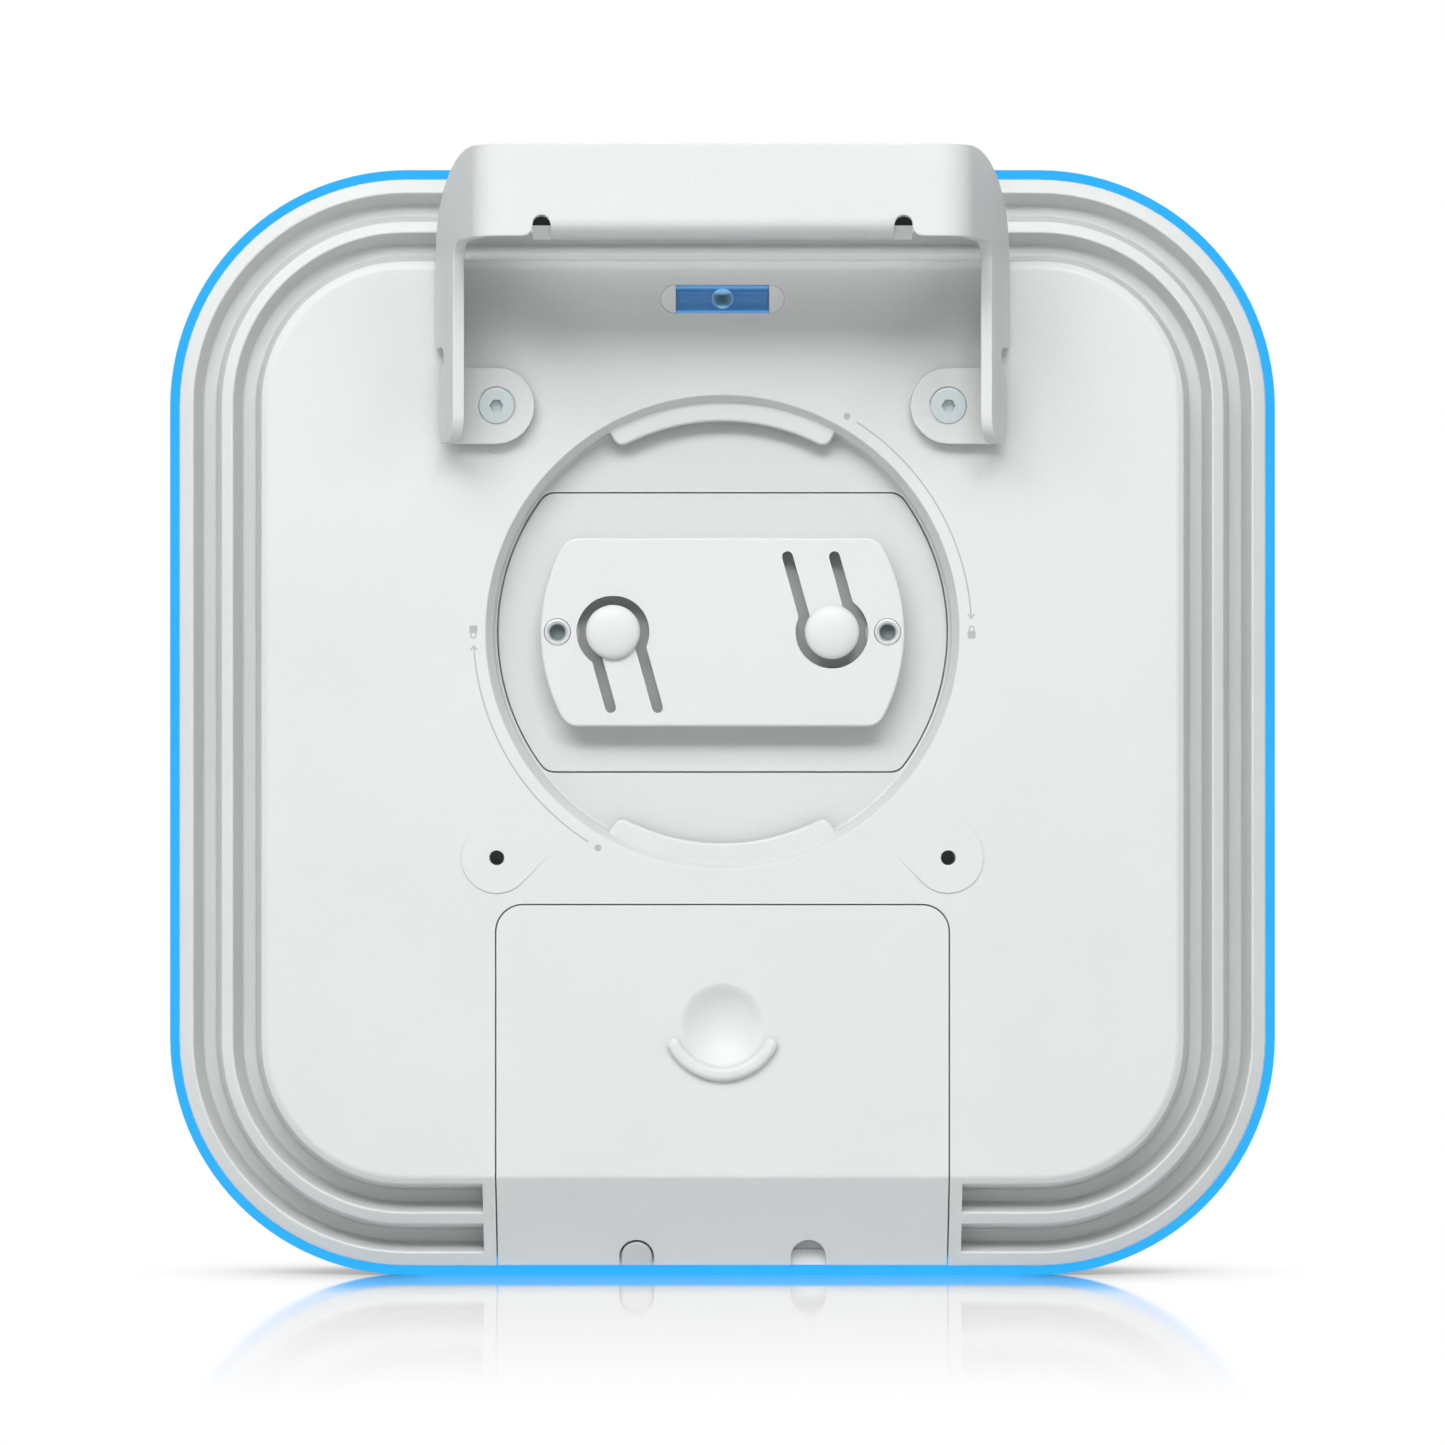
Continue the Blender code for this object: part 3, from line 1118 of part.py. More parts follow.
class Fold:
    """Stations along one half of the sheet, measured on its middle surface from the centre line."""

    splay = math.radians(90 - ARM_SPLAY)
    bend = BEND_R + SHEET / 2
    foot_bend = FOOT_BEND_R + SHEET / 2
    hook_bend = HOOK_BEND_R + SHEET / 2
    plate_y = WALL_FACE_Y + SHEET / 2
    foot_y = FOOT_UNDER_Y - SHEET / 2
    foot_centre = Vector((BOSS_X + FOOT_FLAT, foot_y - foot_bend))
    arm_end = foot_centre + Vector((math.sin(splay), -math.cos(splay))) * foot_bend
    arm_start_y = plate_y + bend * (1 - math.cos(splay))
    arm_length = (arm_end.y - arm_start_y) / math.sin(splay)
    arm_start = arm_end - Vector((math.cos(splay), math.sin(splay))) * arm_length
    flat = arm_start.x - bend * math.sin(splay)
    after_bend = flat + bend * splay
    foot_start = after_bend + arm_length
    foot_flat = foot_start + foot_bend * (math.pi - splay)
    screw = foot_flat + FOOT_FLAT
    relief_z = BOSS_TOP_Z + FOOT_HALF + RELIEF / 2
    hook_z = PLATE_LOW_Z + HOOK_BEND_R + SHEET

    @classmethod
    def at_depth(cls, y):
        """Station on an arm at a depth."""
        return cls.after_bend + (y - cls.arm_start_y) / math.sin(cls.splay)

    @classmethod
    def across(cls, s, z):
        """(x, y) of the middle surface and its outward normal, on the right half."""
        if s <= cls.flat:
            return Vector((s, cls.plate_y)), Vector((0, -1))
        if s <= cls.after_bend:
            turn = (s - cls.flat) / cls.bend
            centre = Vector((cls.flat, cls.plate_y + cls.bend))
        elif s <= cls.foot_start or z > cls.relief_z:
            normal = Vector((math.sin(cls.splay), -math.cos(cls.splay)))
            along = Vector((math.cos(cls.splay), math.sin(cls.splay)))
            return cls.arm_start + along * (s - cls.after_bend), normal
        elif s <= cls.foot_flat:
            turn = cls.splay + (s - cls.foot_start) / cls.foot_bend
            normal = Vector((math.sin(turn), -math.cos(turn)))
            return cls.foot_centre + normal * cls.foot_bend, normal
        else:
            return Vector((cls.foot_centre.x - (s - cls.foot_flat), cls.foot_y)), Vector((0, 1))
        normal = Vector((math.sin(turn), -math.cos(turn)))
        return centre + normal * cls.bend, normal

    @classmethod
    def point(cls, s, z):
        """Point of the folded middle surface and its outward normal."""
        side = -1 if s < 0 else 1
        if abs(s) < HOOK_NOTCH_X and z < cls.hook_z:
            turn = min((cls.hook_z - z) / cls.hook_bend, math.pi / 2)
            run = max(0.0, cls.hook_z - z - cls.hook_bend * math.pi / 2)
            y = cls.plate_y + cls.hook_bend * (1 - math.cos(turn)) + run
            return Vector((s, y, cls.hook_z - cls.hook_bend * math.sin(turn))), \
                Vector((0, -math.cos(turn), -math.sin(turn)))
        place_xy, normal = cls.across(abs(s), z)
        return Vector((side * place_xy.x, place_xy.y, z)), Vector((side * normal.x, normal.y, 0))


def bracket_half_pattern():
    """Outline of the flat sheet's right half, from the top of the centre line to its bottom."""
    free = Fold.at_depth(PANEL_Y - ARM_FREE_GAP)
    near = Fold.at_depth(WALL_FACE_Y + ARM_NEAR)
    foot_top, foot_low = BOSS_TOP_Z + FOOT_HALF, BOSS_TOP_Z - FOOT_HALF
    shoulder_z = PLATE_TOP_Z - ARM_DROP
    points = []
    for i in range(11):
        lean = math.radians(90 * i / 10)
        points.append((Fold.after_bend + (free - Fold.after_bend) * math.sin(lean),
                       shoulder_z + ARM_DROP * math.cos(lean)))
    relief = RELIEF / 2
    slot_end = Fold.foot_start - RELIEF_DEPTH
    points += [(free, foot_top + RELIEF)]
    points += arc(slot_end + relief, foot_top + relief, relief, 90, 270, 6)
    points += arc(Fold.screw, BOSS_TOP_Z, FOOT_HALF, 90, -90, 12)
    points += arc(near + ARM_CORNER_R, foot_low + ARM_CORNER_R, ARM_CORNER_R, 270, 180, 5)
    points += arc(near - ARM_FILLET_R, PLATE_LOW_Z - ARM_FILLET_R, ARM_FILLET_R, 0, 90, 4)
    notch = HOOK_NOTCH_X + HOOK_NOTCH_R
    points += arc(notch + HOOK_NOTCH_FILLET, PLATE_LOW_Z + HOOK_NOTCH_FILLET, HOOK_NOTCH_FILLET, 270, 180, 3)
    points += arc(HOOK_NOTCH_X, PLATE_LOW_Z + HOOK_NOTCH_TOP - HOOK_NOTCH_R, HOOK_NOTCH_R, 0, 180, 8)
    hook_flat = HOOK_LENGTH - HOOK_BEND_R - SHEET
    hook_end = Fold.hook_z - Fold.hook_bend * math.pi / 2 - hook_flat
    corner = HOOK_NOTCH_FILLET
    hook_side = HOOK_NOTCH_X - HOOK_NOTCH_R
    points += arc(hook_side - corner, hook_end + corner, corner, 0, -90, 3)
    return points


def bend_stations(start, end, steps):
    return [start + (end - start) * i / steps for i in range(steps + 1)]


def build_mount_bracket():
    half = bracket_half_pattern()
    pattern = half + [(-s, z) for s, z in reversed(half)]
    flat = bmesh.new()
    flat.faces.new([flat.verts.new((s, 0, z)) for s, z in pattern])
    stations = bend_stations(Fold.flat, Fold.after_bend, 7) + bend_stations(Fold.foot_start, Fold.foot_flat, 5)
    creases = [((side * s, 0, 0), (1, 0, 0)) for s in stations for side in (-1, 1)]
    hook_low = Fold.hook_z - Fold.hook_bend * math.pi / 2
    creases += [((0, 0, z), (0, 0, 1)) for z in bend_stations(Fold.hook_z, hook_low, 4)]
    for where, normal in creases:
        bmesh.ops.bisect_plane(flat, geom=flat.verts[:] + flat.edges[:] + flat.faces[:], dist=1e-7,
                               plane_co=where, plane_no=normal)
    sheet = bmesh.new()
    skins = []
    for offset in (-SHEET / 2, SHEET / 2):
        skin = []
        for vertex in flat.verts:
            middle, normal = Fold.point(vertex.co.x, vertex.co.z)
            skin.append(sheet.verts.new(middle + normal * offset))
        skins.append(skin)
    flat.verts.index_update()
    for face in flat.faces:
        for skin in skins:
            sheet.faces.new([skin[vertex.index] for vertex in face.verts])
    for edge in flat.edges:
        if edge.is_boundary:
            first, second = edge.verts[0].index, edge.verts[1].index
            sheet.faces.new([skins[0][first], skins[0][second], skins[1][second], skins[1][first]])
    flat.free()
    bracket = solid(sheet)
    hole = BRACKET_SCREW_R + SEAT_GAP
    mouth = BRACKET_SCREW_HEAD_R + BRACKET_SCREW_SINK + SEAT_GAP
    lead = OVERRUN / 5
    for side in (-1, 1):
        cut(bracket, turned([(mouth + lead, FOOT_TOP_Y - lead), (hole, FOOT_TOP_Y + mouth - hole),
                             (hole, PANEL_Y)], side * BOSS_X, BOSS_TOP_Z, SMALL_STEPS + 8))
    finish(bracket, "mount_bracket", BRACKET_PAINT)


def build_bracket_screws():
    """Countersunk screws with a hexagon socket, through the feet into the upper bosses."""
    crown = FOOT_TOP_Y + BRACKET_SCREW_SINK
    throat = crown + BRACKET_SCREW_HEAD_R - BRACKET_SCREW_R
    for name, side in (("left_bracket_screw", -1), ("right_bracket_screw", 1)):
        x = side * BOSS_X
        screw = turned([(BRACKET_SCREW_HEAD_R, crown), (BRACKET_SCREW_R, throat),
                        (BRACKET_SCREW_R, crown + BRACKET_SCREW_LENGTH)], x, BOSS_TOP_Z, SMALL_STEPS + 8)
        key = arc(x, BOSS_TOP_Z, HEX_KEY_FLATS / math.sqrt(3), 0, 360, 6)[:-1]
        cut(screw, prism(key, crown - OVERRUN, crown + HEX_KEY_DEPTH))
        finish(screw, name, SCREW_STEEL)


build_rear_housing()
build_recess_cup()
build_light_ring()
build_front_radome()
build_housing_gasket()
build_led_strips()
build_lock_insert()
build_insert_screws()
build_latch_finger("left_latch_finger", 1)
build_latch_finger("right_latch_finger", -1)
build_lock_bushes()
build_port_door()
build_blank_plug()
build_port_jacks()
build_reset()
build_main_board()
build_shields()
build_heat_path()
build_antenna_plate()
build_patch_antennas()
build_standoffs()
build_level()
build_mount_bracket()
build_bracket_screws()
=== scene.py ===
"""Access point seen from its wall side: a white cast back with a lit edge, on a folded wall bracket."""

import math

import bmesh
import bpy
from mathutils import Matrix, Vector


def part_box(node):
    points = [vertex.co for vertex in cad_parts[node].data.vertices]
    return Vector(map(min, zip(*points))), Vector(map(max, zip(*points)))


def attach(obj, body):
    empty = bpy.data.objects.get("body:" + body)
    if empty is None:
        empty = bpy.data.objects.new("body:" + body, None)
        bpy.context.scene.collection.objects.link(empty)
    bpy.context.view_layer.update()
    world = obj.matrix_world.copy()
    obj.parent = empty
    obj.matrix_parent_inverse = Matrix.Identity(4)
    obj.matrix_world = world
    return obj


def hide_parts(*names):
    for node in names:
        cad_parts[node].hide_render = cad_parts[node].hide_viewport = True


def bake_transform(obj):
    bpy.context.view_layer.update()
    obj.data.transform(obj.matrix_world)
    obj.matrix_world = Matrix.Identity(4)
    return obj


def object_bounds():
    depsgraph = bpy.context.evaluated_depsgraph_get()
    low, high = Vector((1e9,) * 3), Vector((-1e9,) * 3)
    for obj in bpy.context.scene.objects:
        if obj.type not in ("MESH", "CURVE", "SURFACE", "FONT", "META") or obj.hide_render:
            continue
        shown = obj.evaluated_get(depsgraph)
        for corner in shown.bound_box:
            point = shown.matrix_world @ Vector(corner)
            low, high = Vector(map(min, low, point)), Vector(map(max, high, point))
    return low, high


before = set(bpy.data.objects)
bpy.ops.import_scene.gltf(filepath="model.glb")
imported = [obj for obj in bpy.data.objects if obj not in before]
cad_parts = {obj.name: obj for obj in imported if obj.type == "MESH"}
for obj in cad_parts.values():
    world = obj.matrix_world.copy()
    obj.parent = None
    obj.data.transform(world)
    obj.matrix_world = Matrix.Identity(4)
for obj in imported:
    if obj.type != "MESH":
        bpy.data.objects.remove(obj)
cad_low, cad_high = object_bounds()

MM = 0.001

# Middle of the unit: the light ring is square, and its rear face is y = 0
ring_low, ring_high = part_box("light_ring")
UNIT_X = (ring_low.x + ring_high.x) / 2
UNIT_Y = ring_low.y
UNIT_Z = (ring_low.z + ring_high.z) / 2

# Sizes in millimetres, in the frame of the unit: x right, y away from the wall, z up
CORNER = 81.7                # middle of the body's round corners
RING_OUT = 143.0
RING_IN = 138.5
RING_DEEP = 6.0
LIP = 140.5                  # outer edge of the rear housing
LIP_Y = -1.0
SEAT = -0.3
PANEL = 116.6                # outer edge of the flat panel
PANEL_Y = -17.0
PANEL_WALL = 3.0
SLOPE = (LIP_Y - PANEL_Y) / (LIP - PANEL)
TILT = math.atan(SLOPE)
RAMP = 61.6                  # half width of the plain ramp between the ends of the grooves
INNER_GROOVE = (118.35, 120.5, 123.7, 126.1)    # half widths of its edge, both ends of its floor, its edge
INNER_GROOVE_Y = -4.7
OUTER_GROOVE = (129.05, 131.2, 134.4, 136.8)
OUTER_GROOVE_Y = 2.4
RIM_Y = 9.0
FRONT_Y = 35.0

RECESS_Z = 23.2
RECESS_R = 60.8
RECESS_WALL_R = 58.9
FLARE_Y = -13.5
FLOOR_Y = -9.0
INSERT_SEAT_Y = -7.0
TAB_R = 54.2
TAB_SWING = 29.5
TAB_Y = -14.1
TAB_THICK = 3.3

PLATFORM_R = 46.8
PLATFORM_HALF = 24.3
PLATFORM_WALL = 2.5
LATCH_X = 28.1
BUTTON_R = 7.0
BUTTON_RISE = 0.7
BUTTON_DOME = 2.1
WELL_R = 9.35
WELL_FLOOR_Y = -11.7         # seen through the slots beside the fingers
FINGER_HALF = 4.4
FINGER_SLOT = 2.8
FINGER_TILT = math.radians(15.6)
FINGER_ROOT = 20.75
BUSH_X = 42.35
BUSH_R = 3.35
BUSH_BORE = 2.0

BACK_NEAR_Y = -15.6          # solid behind the panel, round the recess, the bosses, the bay and the level
BACK_FAR_Y = -4.5
RECESS_BACK_R = 64.0
BOSS_R = 6.5
BOSS_X = 57.9
BOSS_HIGH = 81.1
BOSS_LOW = -34.7
BOSS_HOLE_R = 1.9

DOOR_HALF = 58.2             # to the middle of the seam
DOOR_TOP = -46.7
DOOR_CORNER = 7.0
DOOR_WALL = 2.5
DOOR_FOOT = 140.3
SEAM = 0.18                  # half of an open seam
DIMPLE_Z = -77.6
DIMPLE_R = 10.1
DIMPLE_DEEP = 3.0
NOTCH_X = 22.2
NOTCH_R = 4.5
NOTCH_Z = -138.0
BAY_HALF = 53.5
BAY_TOP = -51.0
BAY_LOW = -131.0
BAY_FLOOR_Y = 0.5
JACK_HALF = 8.3
JACK_TOP = -53.7
JACK_LOW = -75.3
RESET_Z = -60.0
RESET_R = 1.9

LEVEL_Z = 108.6
LEVEL_Y = -13.2
VIAL_HALF = 11.9
VIAL_R = 3.6

FOOT_TOP_Y = -20.6
WALL_Y = -59.0               # wall face of the bracket
RELIEF_X = 45.4
RELIEF_Z = 124.7
RELIEF_R = 2.3
HEAD_R = 4.7

# Ends of the cutting tools, clear of what they cut
AHEAD_Y = -40.0
PAST_Y = 12.0
BELOW_Z = -152.0

# Distance of the camera, and the width of the picture there
CAMERA_AWAY = 1900.0
CAMERA_WIDE = 374.0

# Metres: distance of the lamps, and the reach of the painted shade in a groove and under the bracket
LAMP_AWAY = 2.4
SHADE_NEAR = 0.014
SHADE_FAR = 0.09


def at(x, y, z):
    """A point of the unit, from millimetres to the frame of the CAD."""
    return Vector((UNIT_X + x * MM, UNIT_Y + y * MM, UNIT_Z + z * MM))


def shift(x=0.0, y=0.0, z=0.0):
    return {"value": (x * MM, y * MM, z * MM)}


# Outlines

def arc(cx, cz, radius, start, end, steps):
    """Points along an arc, with both ends, by angles in degrees."""
    turns = [math.radians(start + (end - start) * i / steps) for i in range(steps + 1)]
    return [(cx + radius * math.cos(turn), cz + radius * math.sin(turn)) for turn in turns]


def eased_corner(before, here, after, radius, steps):
    """Points of the arc that rounds one corner of a line."""
    here = Vector(here)
    back = (Vector(before) - here).normalized()
    on = (Vector(after) - here).normalized()
    half = back.angle(on) / 2
    reach = radius / math.tan(half)
    middle = here + (back + on).normalized() * radius / math.sin(half)
    first = here + back * reach - middle
    last = here + on * reach - middle
    start = math.atan2(first.y, first.x)
    turn = math.atan2(first.x * last.y - first.y * last.x, first.dot(last))
    return [(middle.x + radius * math.cos(start + turn * i / steps),
             middle.y + radius * math.sin(start + turn * i / steps)) for i in range(steps + 1)]


def eased(corners, steps=4, loop=False):
    """A row of (a, b, radius) corners as one row of points for each corner."""
    rows = []
    for i, (a, b, radius) in enumerate(corners):
        end = not loop and i in (0, len(corners) - 1)
        if radius == 0 or end:
            rows.append([(a, b)])
        else:
            after = corners[(i + 1) % len(corners)]
            rows.append(eased_corner(corners[i - 1][:2], (a, b), after[:2], radius, steps))
    return rows


def joined(rows):
    return [point for row in rows for point in row]


def rounded_box(x_low, x_high, z_low, z_high, radius, steps=6):
    corners = ((x_low, z_low), (x_high, z_low), (x_high, z_high), (x_low, z_high))
    return joined(eased([(x, z, radius) for x, z in corners], steps, loop=True))


def flatted_disc(radius, half, corner):
    """A disc in the recess with a flat above and below, and rounded corners between them."""
    reach = math.sqrt((radius - corner) ** 2 - (half - corner) ** 2)
    lean = math.degrees(math.atan2(half - corner, reach))
    high = RECESS_Z + half - corner
    low = RECESS_Z - half + corner
    points = arc(0, RECESS_Z, radius, -lean, lean, 44)
    points += arc(reach, high, corner, lean, 90, 8) + arc(-reach, high, corner, 90, 180 - lean, 8)
    points += arc(0, RECESS_Z, radius, 180 - lean, 180 + lean, 44)
    return points + arc(-reach, low, corner, 180 + lean, 270, 8) + arc(reach, low, corner, 270, 360 - lean, 8)


def slope_y(half, sink=0.0):
    """Depth of the sloped border at a half width, sunk along its normal."""
    return LIP_Y - (LIP - half) * SLOPE + sink / math.cos(TILT)


def slope_half(y, sink=0.0):
    return LIP + (y - LIP_Y - sink / math.cos(TILT)) / SLOPE


# Modelling steps

def pull(x=0.0, y=0.0, z=0.0):
    """Extrudes what is selected."""
    bpy.ops.mesh.extrude_region_move(TRANSFORM_OT_translate=shift(x, y, z))


def pen(points, loop=False):
    """Draws a line from one vertex, point by point, and leaves it selected in edit mode."""
    line = [Vector(points[0])]
    for point in points[1:]:
        if (Vector(point) - line[-1]).length > 1e-4:
            line.append(Vector(point))
    if (line[0] - line[-1]).length < 1e-4:
        line.pop()
    bpy.ops.object.select_all(action="DESELECT")
    bpy.ops.mesh.primitive_plane_add(size=MM, location=at(*line[0]))
    bpy.ops.object.mode_set(mode="EDIT")
    bpy.ops.mesh.select_mode(type="VERT")
    bpy.ops.mesh.merge(type="CENTER")
    for here, there in zip(line, line[1:]):
        bpy.ops.mesh.extrude_vertices_move(TRANSFORM_OT_translate=shift(*(there - here)))
    if loop:
        pick_verts(lambda vert, last: vert.index in (0, last))
        bpy.ops.mesh.edge_face_add()
    bpy.ops.mesh.select_all(action="SELECT")
    return bpy.context.object


def pick_verts(test):
    """Selects the vertices that pass a test on the vertex and the last index."""
    bpy.ops.mesh.select_all(action="DESELECT")
    sheet = bmesh.from_edit_mesh(bpy.context.object.data)
    sheet.verts.index_update()
    last = len(sheet.verts) - 1
    for vert in sheet.verts:
        vert.select = test(vert, last)
    sheet.select_flush(True)
    bmesh.update_edit_mesh(bpy.context.object.data)


def pick_faces(test):
    """Selects the faces that pass a test on the face's middle and normal, in millimetres of the unit."""
    bpy.ops.mesh.select_mode(type="FACE")
    bpy.ops.mesh.select_all(action="DESELECT")
    piece = bpy.context.object
    sheet = bmesh.from_edit_mesh(piece.data)
    origin = at(0, 0, 0)
    for face in sheet.faces:
        middle = (piece.matrix_world @ face.calc_center_median() - origin) / MM
        face.select = test(middle, face.normal)
    bmesh.update_edit_mesh(piece.data)


def set_down():
    """Merges doubles, turns the faces outwards and puts the piece's place into its mesh."""
    bpy.ops.mesh.select_mode(type="VERT")
    bpy.ops.mesh.select_all(action="SELECT")
    bpy.ops.mesh.remove_doubles(threshold=2e-6)
    bpy.ops.mesh.normals_make_consistent(inside=False)
    bpy.ops.object.mode_set(mode="OBJECT")
    bpy.ops.object.transform_apply(location=True, rotation=True, scale=True)
    return bpy.context.object


def close_ends():
    """Merges the ends of a sweep, fills the openings that are left and sets the piece down."""
    bpy.ops.mesh.select_mode(type="VERT")
    bpy.ops.mesh.select_all(action="SELECT")
    bpy.ops.mesh.remove_doubles(threshold=5e-6)
    bpy.ops.mesh.select_all(action="DESELECT")
    bpy.ops.mesh.select_mode(type="EDGE")
    bpy.ops.mesh.select_non_manifold(use_wire=False, use_multi_face=False, use_non_contiguous=False,
                                     use_verts=False)
    bpy.ops.mesh.fill_holes(sides=0)
    return set_down()


def slab(outline, y_near, y_far, ease=0.0, steps=3):
    """A straight solid on an outline, with the edge of its near face rounded."""
    pen([(x, y_near, z) for x, z in outline])
    bpy.ops.mesh.edge_face_add()
    pull(y=y_far - y_near)
    if ease:
        pick_faces(lambda middle, normal: abs(middle.y - y_near) < 1e-3)
        bpy.ops.mesh.region_to_loop()
        bpy.ops.mesh.bevel(offset=ease * MM, segments=steps, affect="EDGES", clamp_overlap=False)
    return set_down()


def bar(section, x_low, x_high):
    """A straight solid along x, from a section of (y, z) points."""
    pen([(x_low, y, z) for y, z in section])
    bpy.ops.mesh.edge_face_add()
    pull(x=x_high - x_low)
    return set_down()


def block(x_range, y_range, z_range):
    (y_low, y_high), (z_low, z_high) = y_range, z_range
    return bar([(y_low, z_low), (y_low, z_high), (y_high, z_high), (y_high, z_low)], *x_range)


def turned(profile, x, z, steps=64, loop=False):
    """A solid turned about the y axis at (x, z), from a profile of (radius, y)."""
    pen([(x + radius, y, z) for radius, y in profile], loop)
    bpy.ops.mesh.spin(steps=steps, angle=2 * math.pi, center=at(x, 0, z), axis=(0, 1, 0))
    return set_down()


def turned_across(profile, y, z, steps=48, loop=False):
    """A solid turned about the x axis at (y, z), from a profile of (x, radius)."""
    pen([(x, y - radius, z) for x, radius in profile], loop)
    bpy.ops.mesh.spin(steps=steps, angle=2 * math.pi, center=at(0, y, z), axis=(1, 0, 0))
    return set_down()


def run_round(profile, start_x=0.0, end_x=0.0, loop=False, steps=22):
    """Sweeps a profile of (half width, y) from the lower edge round all four sides of the body."""
    pen([(start_x, y, -half) for half, y in profile], loop)
    pull(x=CORNER - start_x)
    side = 2 * CORNER
    for x, z, on in ((1, -1, (0, 0, side)), (1, 1, (-side, 0, 0)), (-1, 1, (0, 0, -side)),
                     (-1, -1, (CORNER + end_x, 0, 0))):
        middle = at(x * CORNER, 0, z * CORNER)
        bpy.ops.mesh.spin(steps=steps, angle=math.pi / 2, center=middle, axis=(0, 1, 0))
        pull(*on)


def choose(piece):
    bpy.ops.object.select_all(action="DESELECT")
    piece.select_set(True)
    bpy.context.view_layer.objects.active = piece


def open_mesh(piece):
    """Opens a piece in edit mode with all of it selected."""
    choose(piece)
    bpy.ops.object.mode_set(mode="EDIT")
    bpy.ops.mesh.select_all(action="SELECT")


def modify(piece, kind, **settings):
    """Adds a modifier with its settings, and applies it."""
    choose(piece)
    bpy.ops.object.modifier_add(type=kind)
    step = piece.modifiers[-1]
    for name, value in settings.items():
        setattr(step, name, value)
    bpy.ops.object.modifier_apply(modifier=step.name)
    return piece


def carve(piece, tool, how="DIFFERENCE"):
    """Cuts a piece with a tool, or joins or meets it, and takes the tool away."""
    modify(piece, "BOOLEAN", operation=how, solver="EXACT", object=tool)
    bpy.data.objects.remove(tool)
    return piece


def soften(piece, width, segments=2, angle=50, clamp=True):
    """Rounds every edge sharper than an angle. The clamp keeps the rounding within the shortest edge."""
    open_mesh(piece)
    bpy.ops.mesh.remove_doubles(threshold=2e-6)
    bpy.ops.mesh.dissolve_limited(angle_limit=math.radians(0.4))
    bpy.ops.object.mode_set(mode="OBJECT")
    return modify(piece, "BEVEL", width=width * MM, segments=segments, limit_method="ANGLE",
                  angle_limit=math.radians(angle), use_clamp_overlap=clamp)


def copied(piece, name, x=0.0, half_turn=False):
    """A copy with its own mesh, moved, or turned by half a turn about the middle of the recess."""
    choose(piece)
    bpy.ops.object.duplicate()
    twin = bpy.context.object
    twin.name = name
    open_mesh(twin)
    if half_turn:
        bpy.ops.transform.rotate(value=math.pi, orient_axis="Y", center_override=at(0, 0, RECESS_Z))
    else:
        bpy.ops.transform.translate(**shift(x))
    bpy.ops.object.mode_set(mode="OBJECT")
    return twin


def dress(piece, name, finish, body="unit", nodes=(), angle=32):
    """Smooths a finished piece and gives it its name, finish and body."""
    piece.name = name
    piece.data.name = name
    piece.data.materials.clear()
    piece.data.materials.append(finish)
    choose(piece)
    bpy.ops.object.shade_smooth_by_angle(angle=math.radians(angle))
    modify(piece, "WEIGHTED_NORMAL", keep_sharp=True)
    if body:
        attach(piece, body)
    if nodes:
        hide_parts(*nodes)
    return piece


def dress_pair(left, name, finish, x, node=""):
    """Dresses a piece of the left side and its copy on the right side."""
    right = copied(left, "right " + name, x=2 * x)
    for side, piece in (("right", right), ("left", left)):
        dress(piece, side + "_" + name, finish, nodes=(side + "_" + node,) if node else ())


# Finishes

def feed(tree, taker, feeds):
    """Links each socket in the feeds to an input of a node, and sets each value on its input."""
    for place, given in feeds.items():
        if isinstance(given, bpy.types.NodeSocket):
            tree.links.new(given, taker.inputs[place])
        else:
            taker.inputs[place].default_value = given


def add_node(tree, kind, feeds=None, **settings):
    made = tree.nodes.new("ShaderNode" + kind)
    for name, value in settings.items():
        setattr(made, name, value)
    feed(tree, made, feeds or {})
    return made


def reckon(tree, operation, *values):
    return add_node(tree, "Math", dict(enumerate(values)), operation=operation).outputs[0]


def spread(tree, value, low, high, to_low=0.0, to_high=1.0, line="LINEAR"):
    """A value taken from one range to another, and held at the ends."""
    ends = {"From Min": low, "From Max": high, "To Min": to_low, "To Max": to_high}
    return add_node(tree, "MapRange", {"Value": value, **ends}, interpolation_type=line).outputs["Result"]


def blended(tree, factor, first, second, how="MIX"):
    """The colour between two colours."""
    feeds = {0: factor, 6: first, 7: second}
    return add_node(tree, "Mix", feeds, data_type="RGBA", blend_type=how).outputs[2]


def new_group(name, takes, gives):
    """A node group with its sockets: the group, what it takes, and the node for what it gives."""
    group = bpy.data.node_groups.new(name, "ShaderNodeTree")
    for socket, kind in takes.items():
        group.interface.new_socket(socket, in_out="INPUT", socket_type="NodeSocket" + kind)
    for socket in gives:
        group.interface.new_socket(socket, in_out="OUTPUT", socket_type="NodeSocketFloat")
    return group, group.nodes.new("NodeGroupInput").outputs, group.nodes.new("NodeGroupOutput")


def grain_group():
    """Fine even grain with a slow drift: a tone to tint by, and a height to bump by."""
    group, takes, gives = new_group("Fine grain", {"Size": "Float", "Stretch": "Vector"}, ("Tone", "Height"))
    place = add_node(group, "TexCoord").outputs["Object"]
    scaled = add_node(group, "VectorMath", {0: place, 1: takes["Stretch"]}, operation="MULTIPLY").outputs[0]
    fine = add_node(group, "TexNoise", {"Vector": scaled, "Scale": takes["Size"], "Detail": 3.0,
                                        "Roughness": 0.6}).outputs[0]
    slow = add_node(group, "TexNoise", {"Vector": place, "Scale": 22.0, "Detail": 2.0}).outputs[0]
    both = add_node(group, "Mix", {"Factor": 0.6, "A": fine, "B": slow}).outputs["Result"]
    feed(group, gives, {"Tone": spread(group, both, 0.3, 0.7), "Height": fine})
    return group


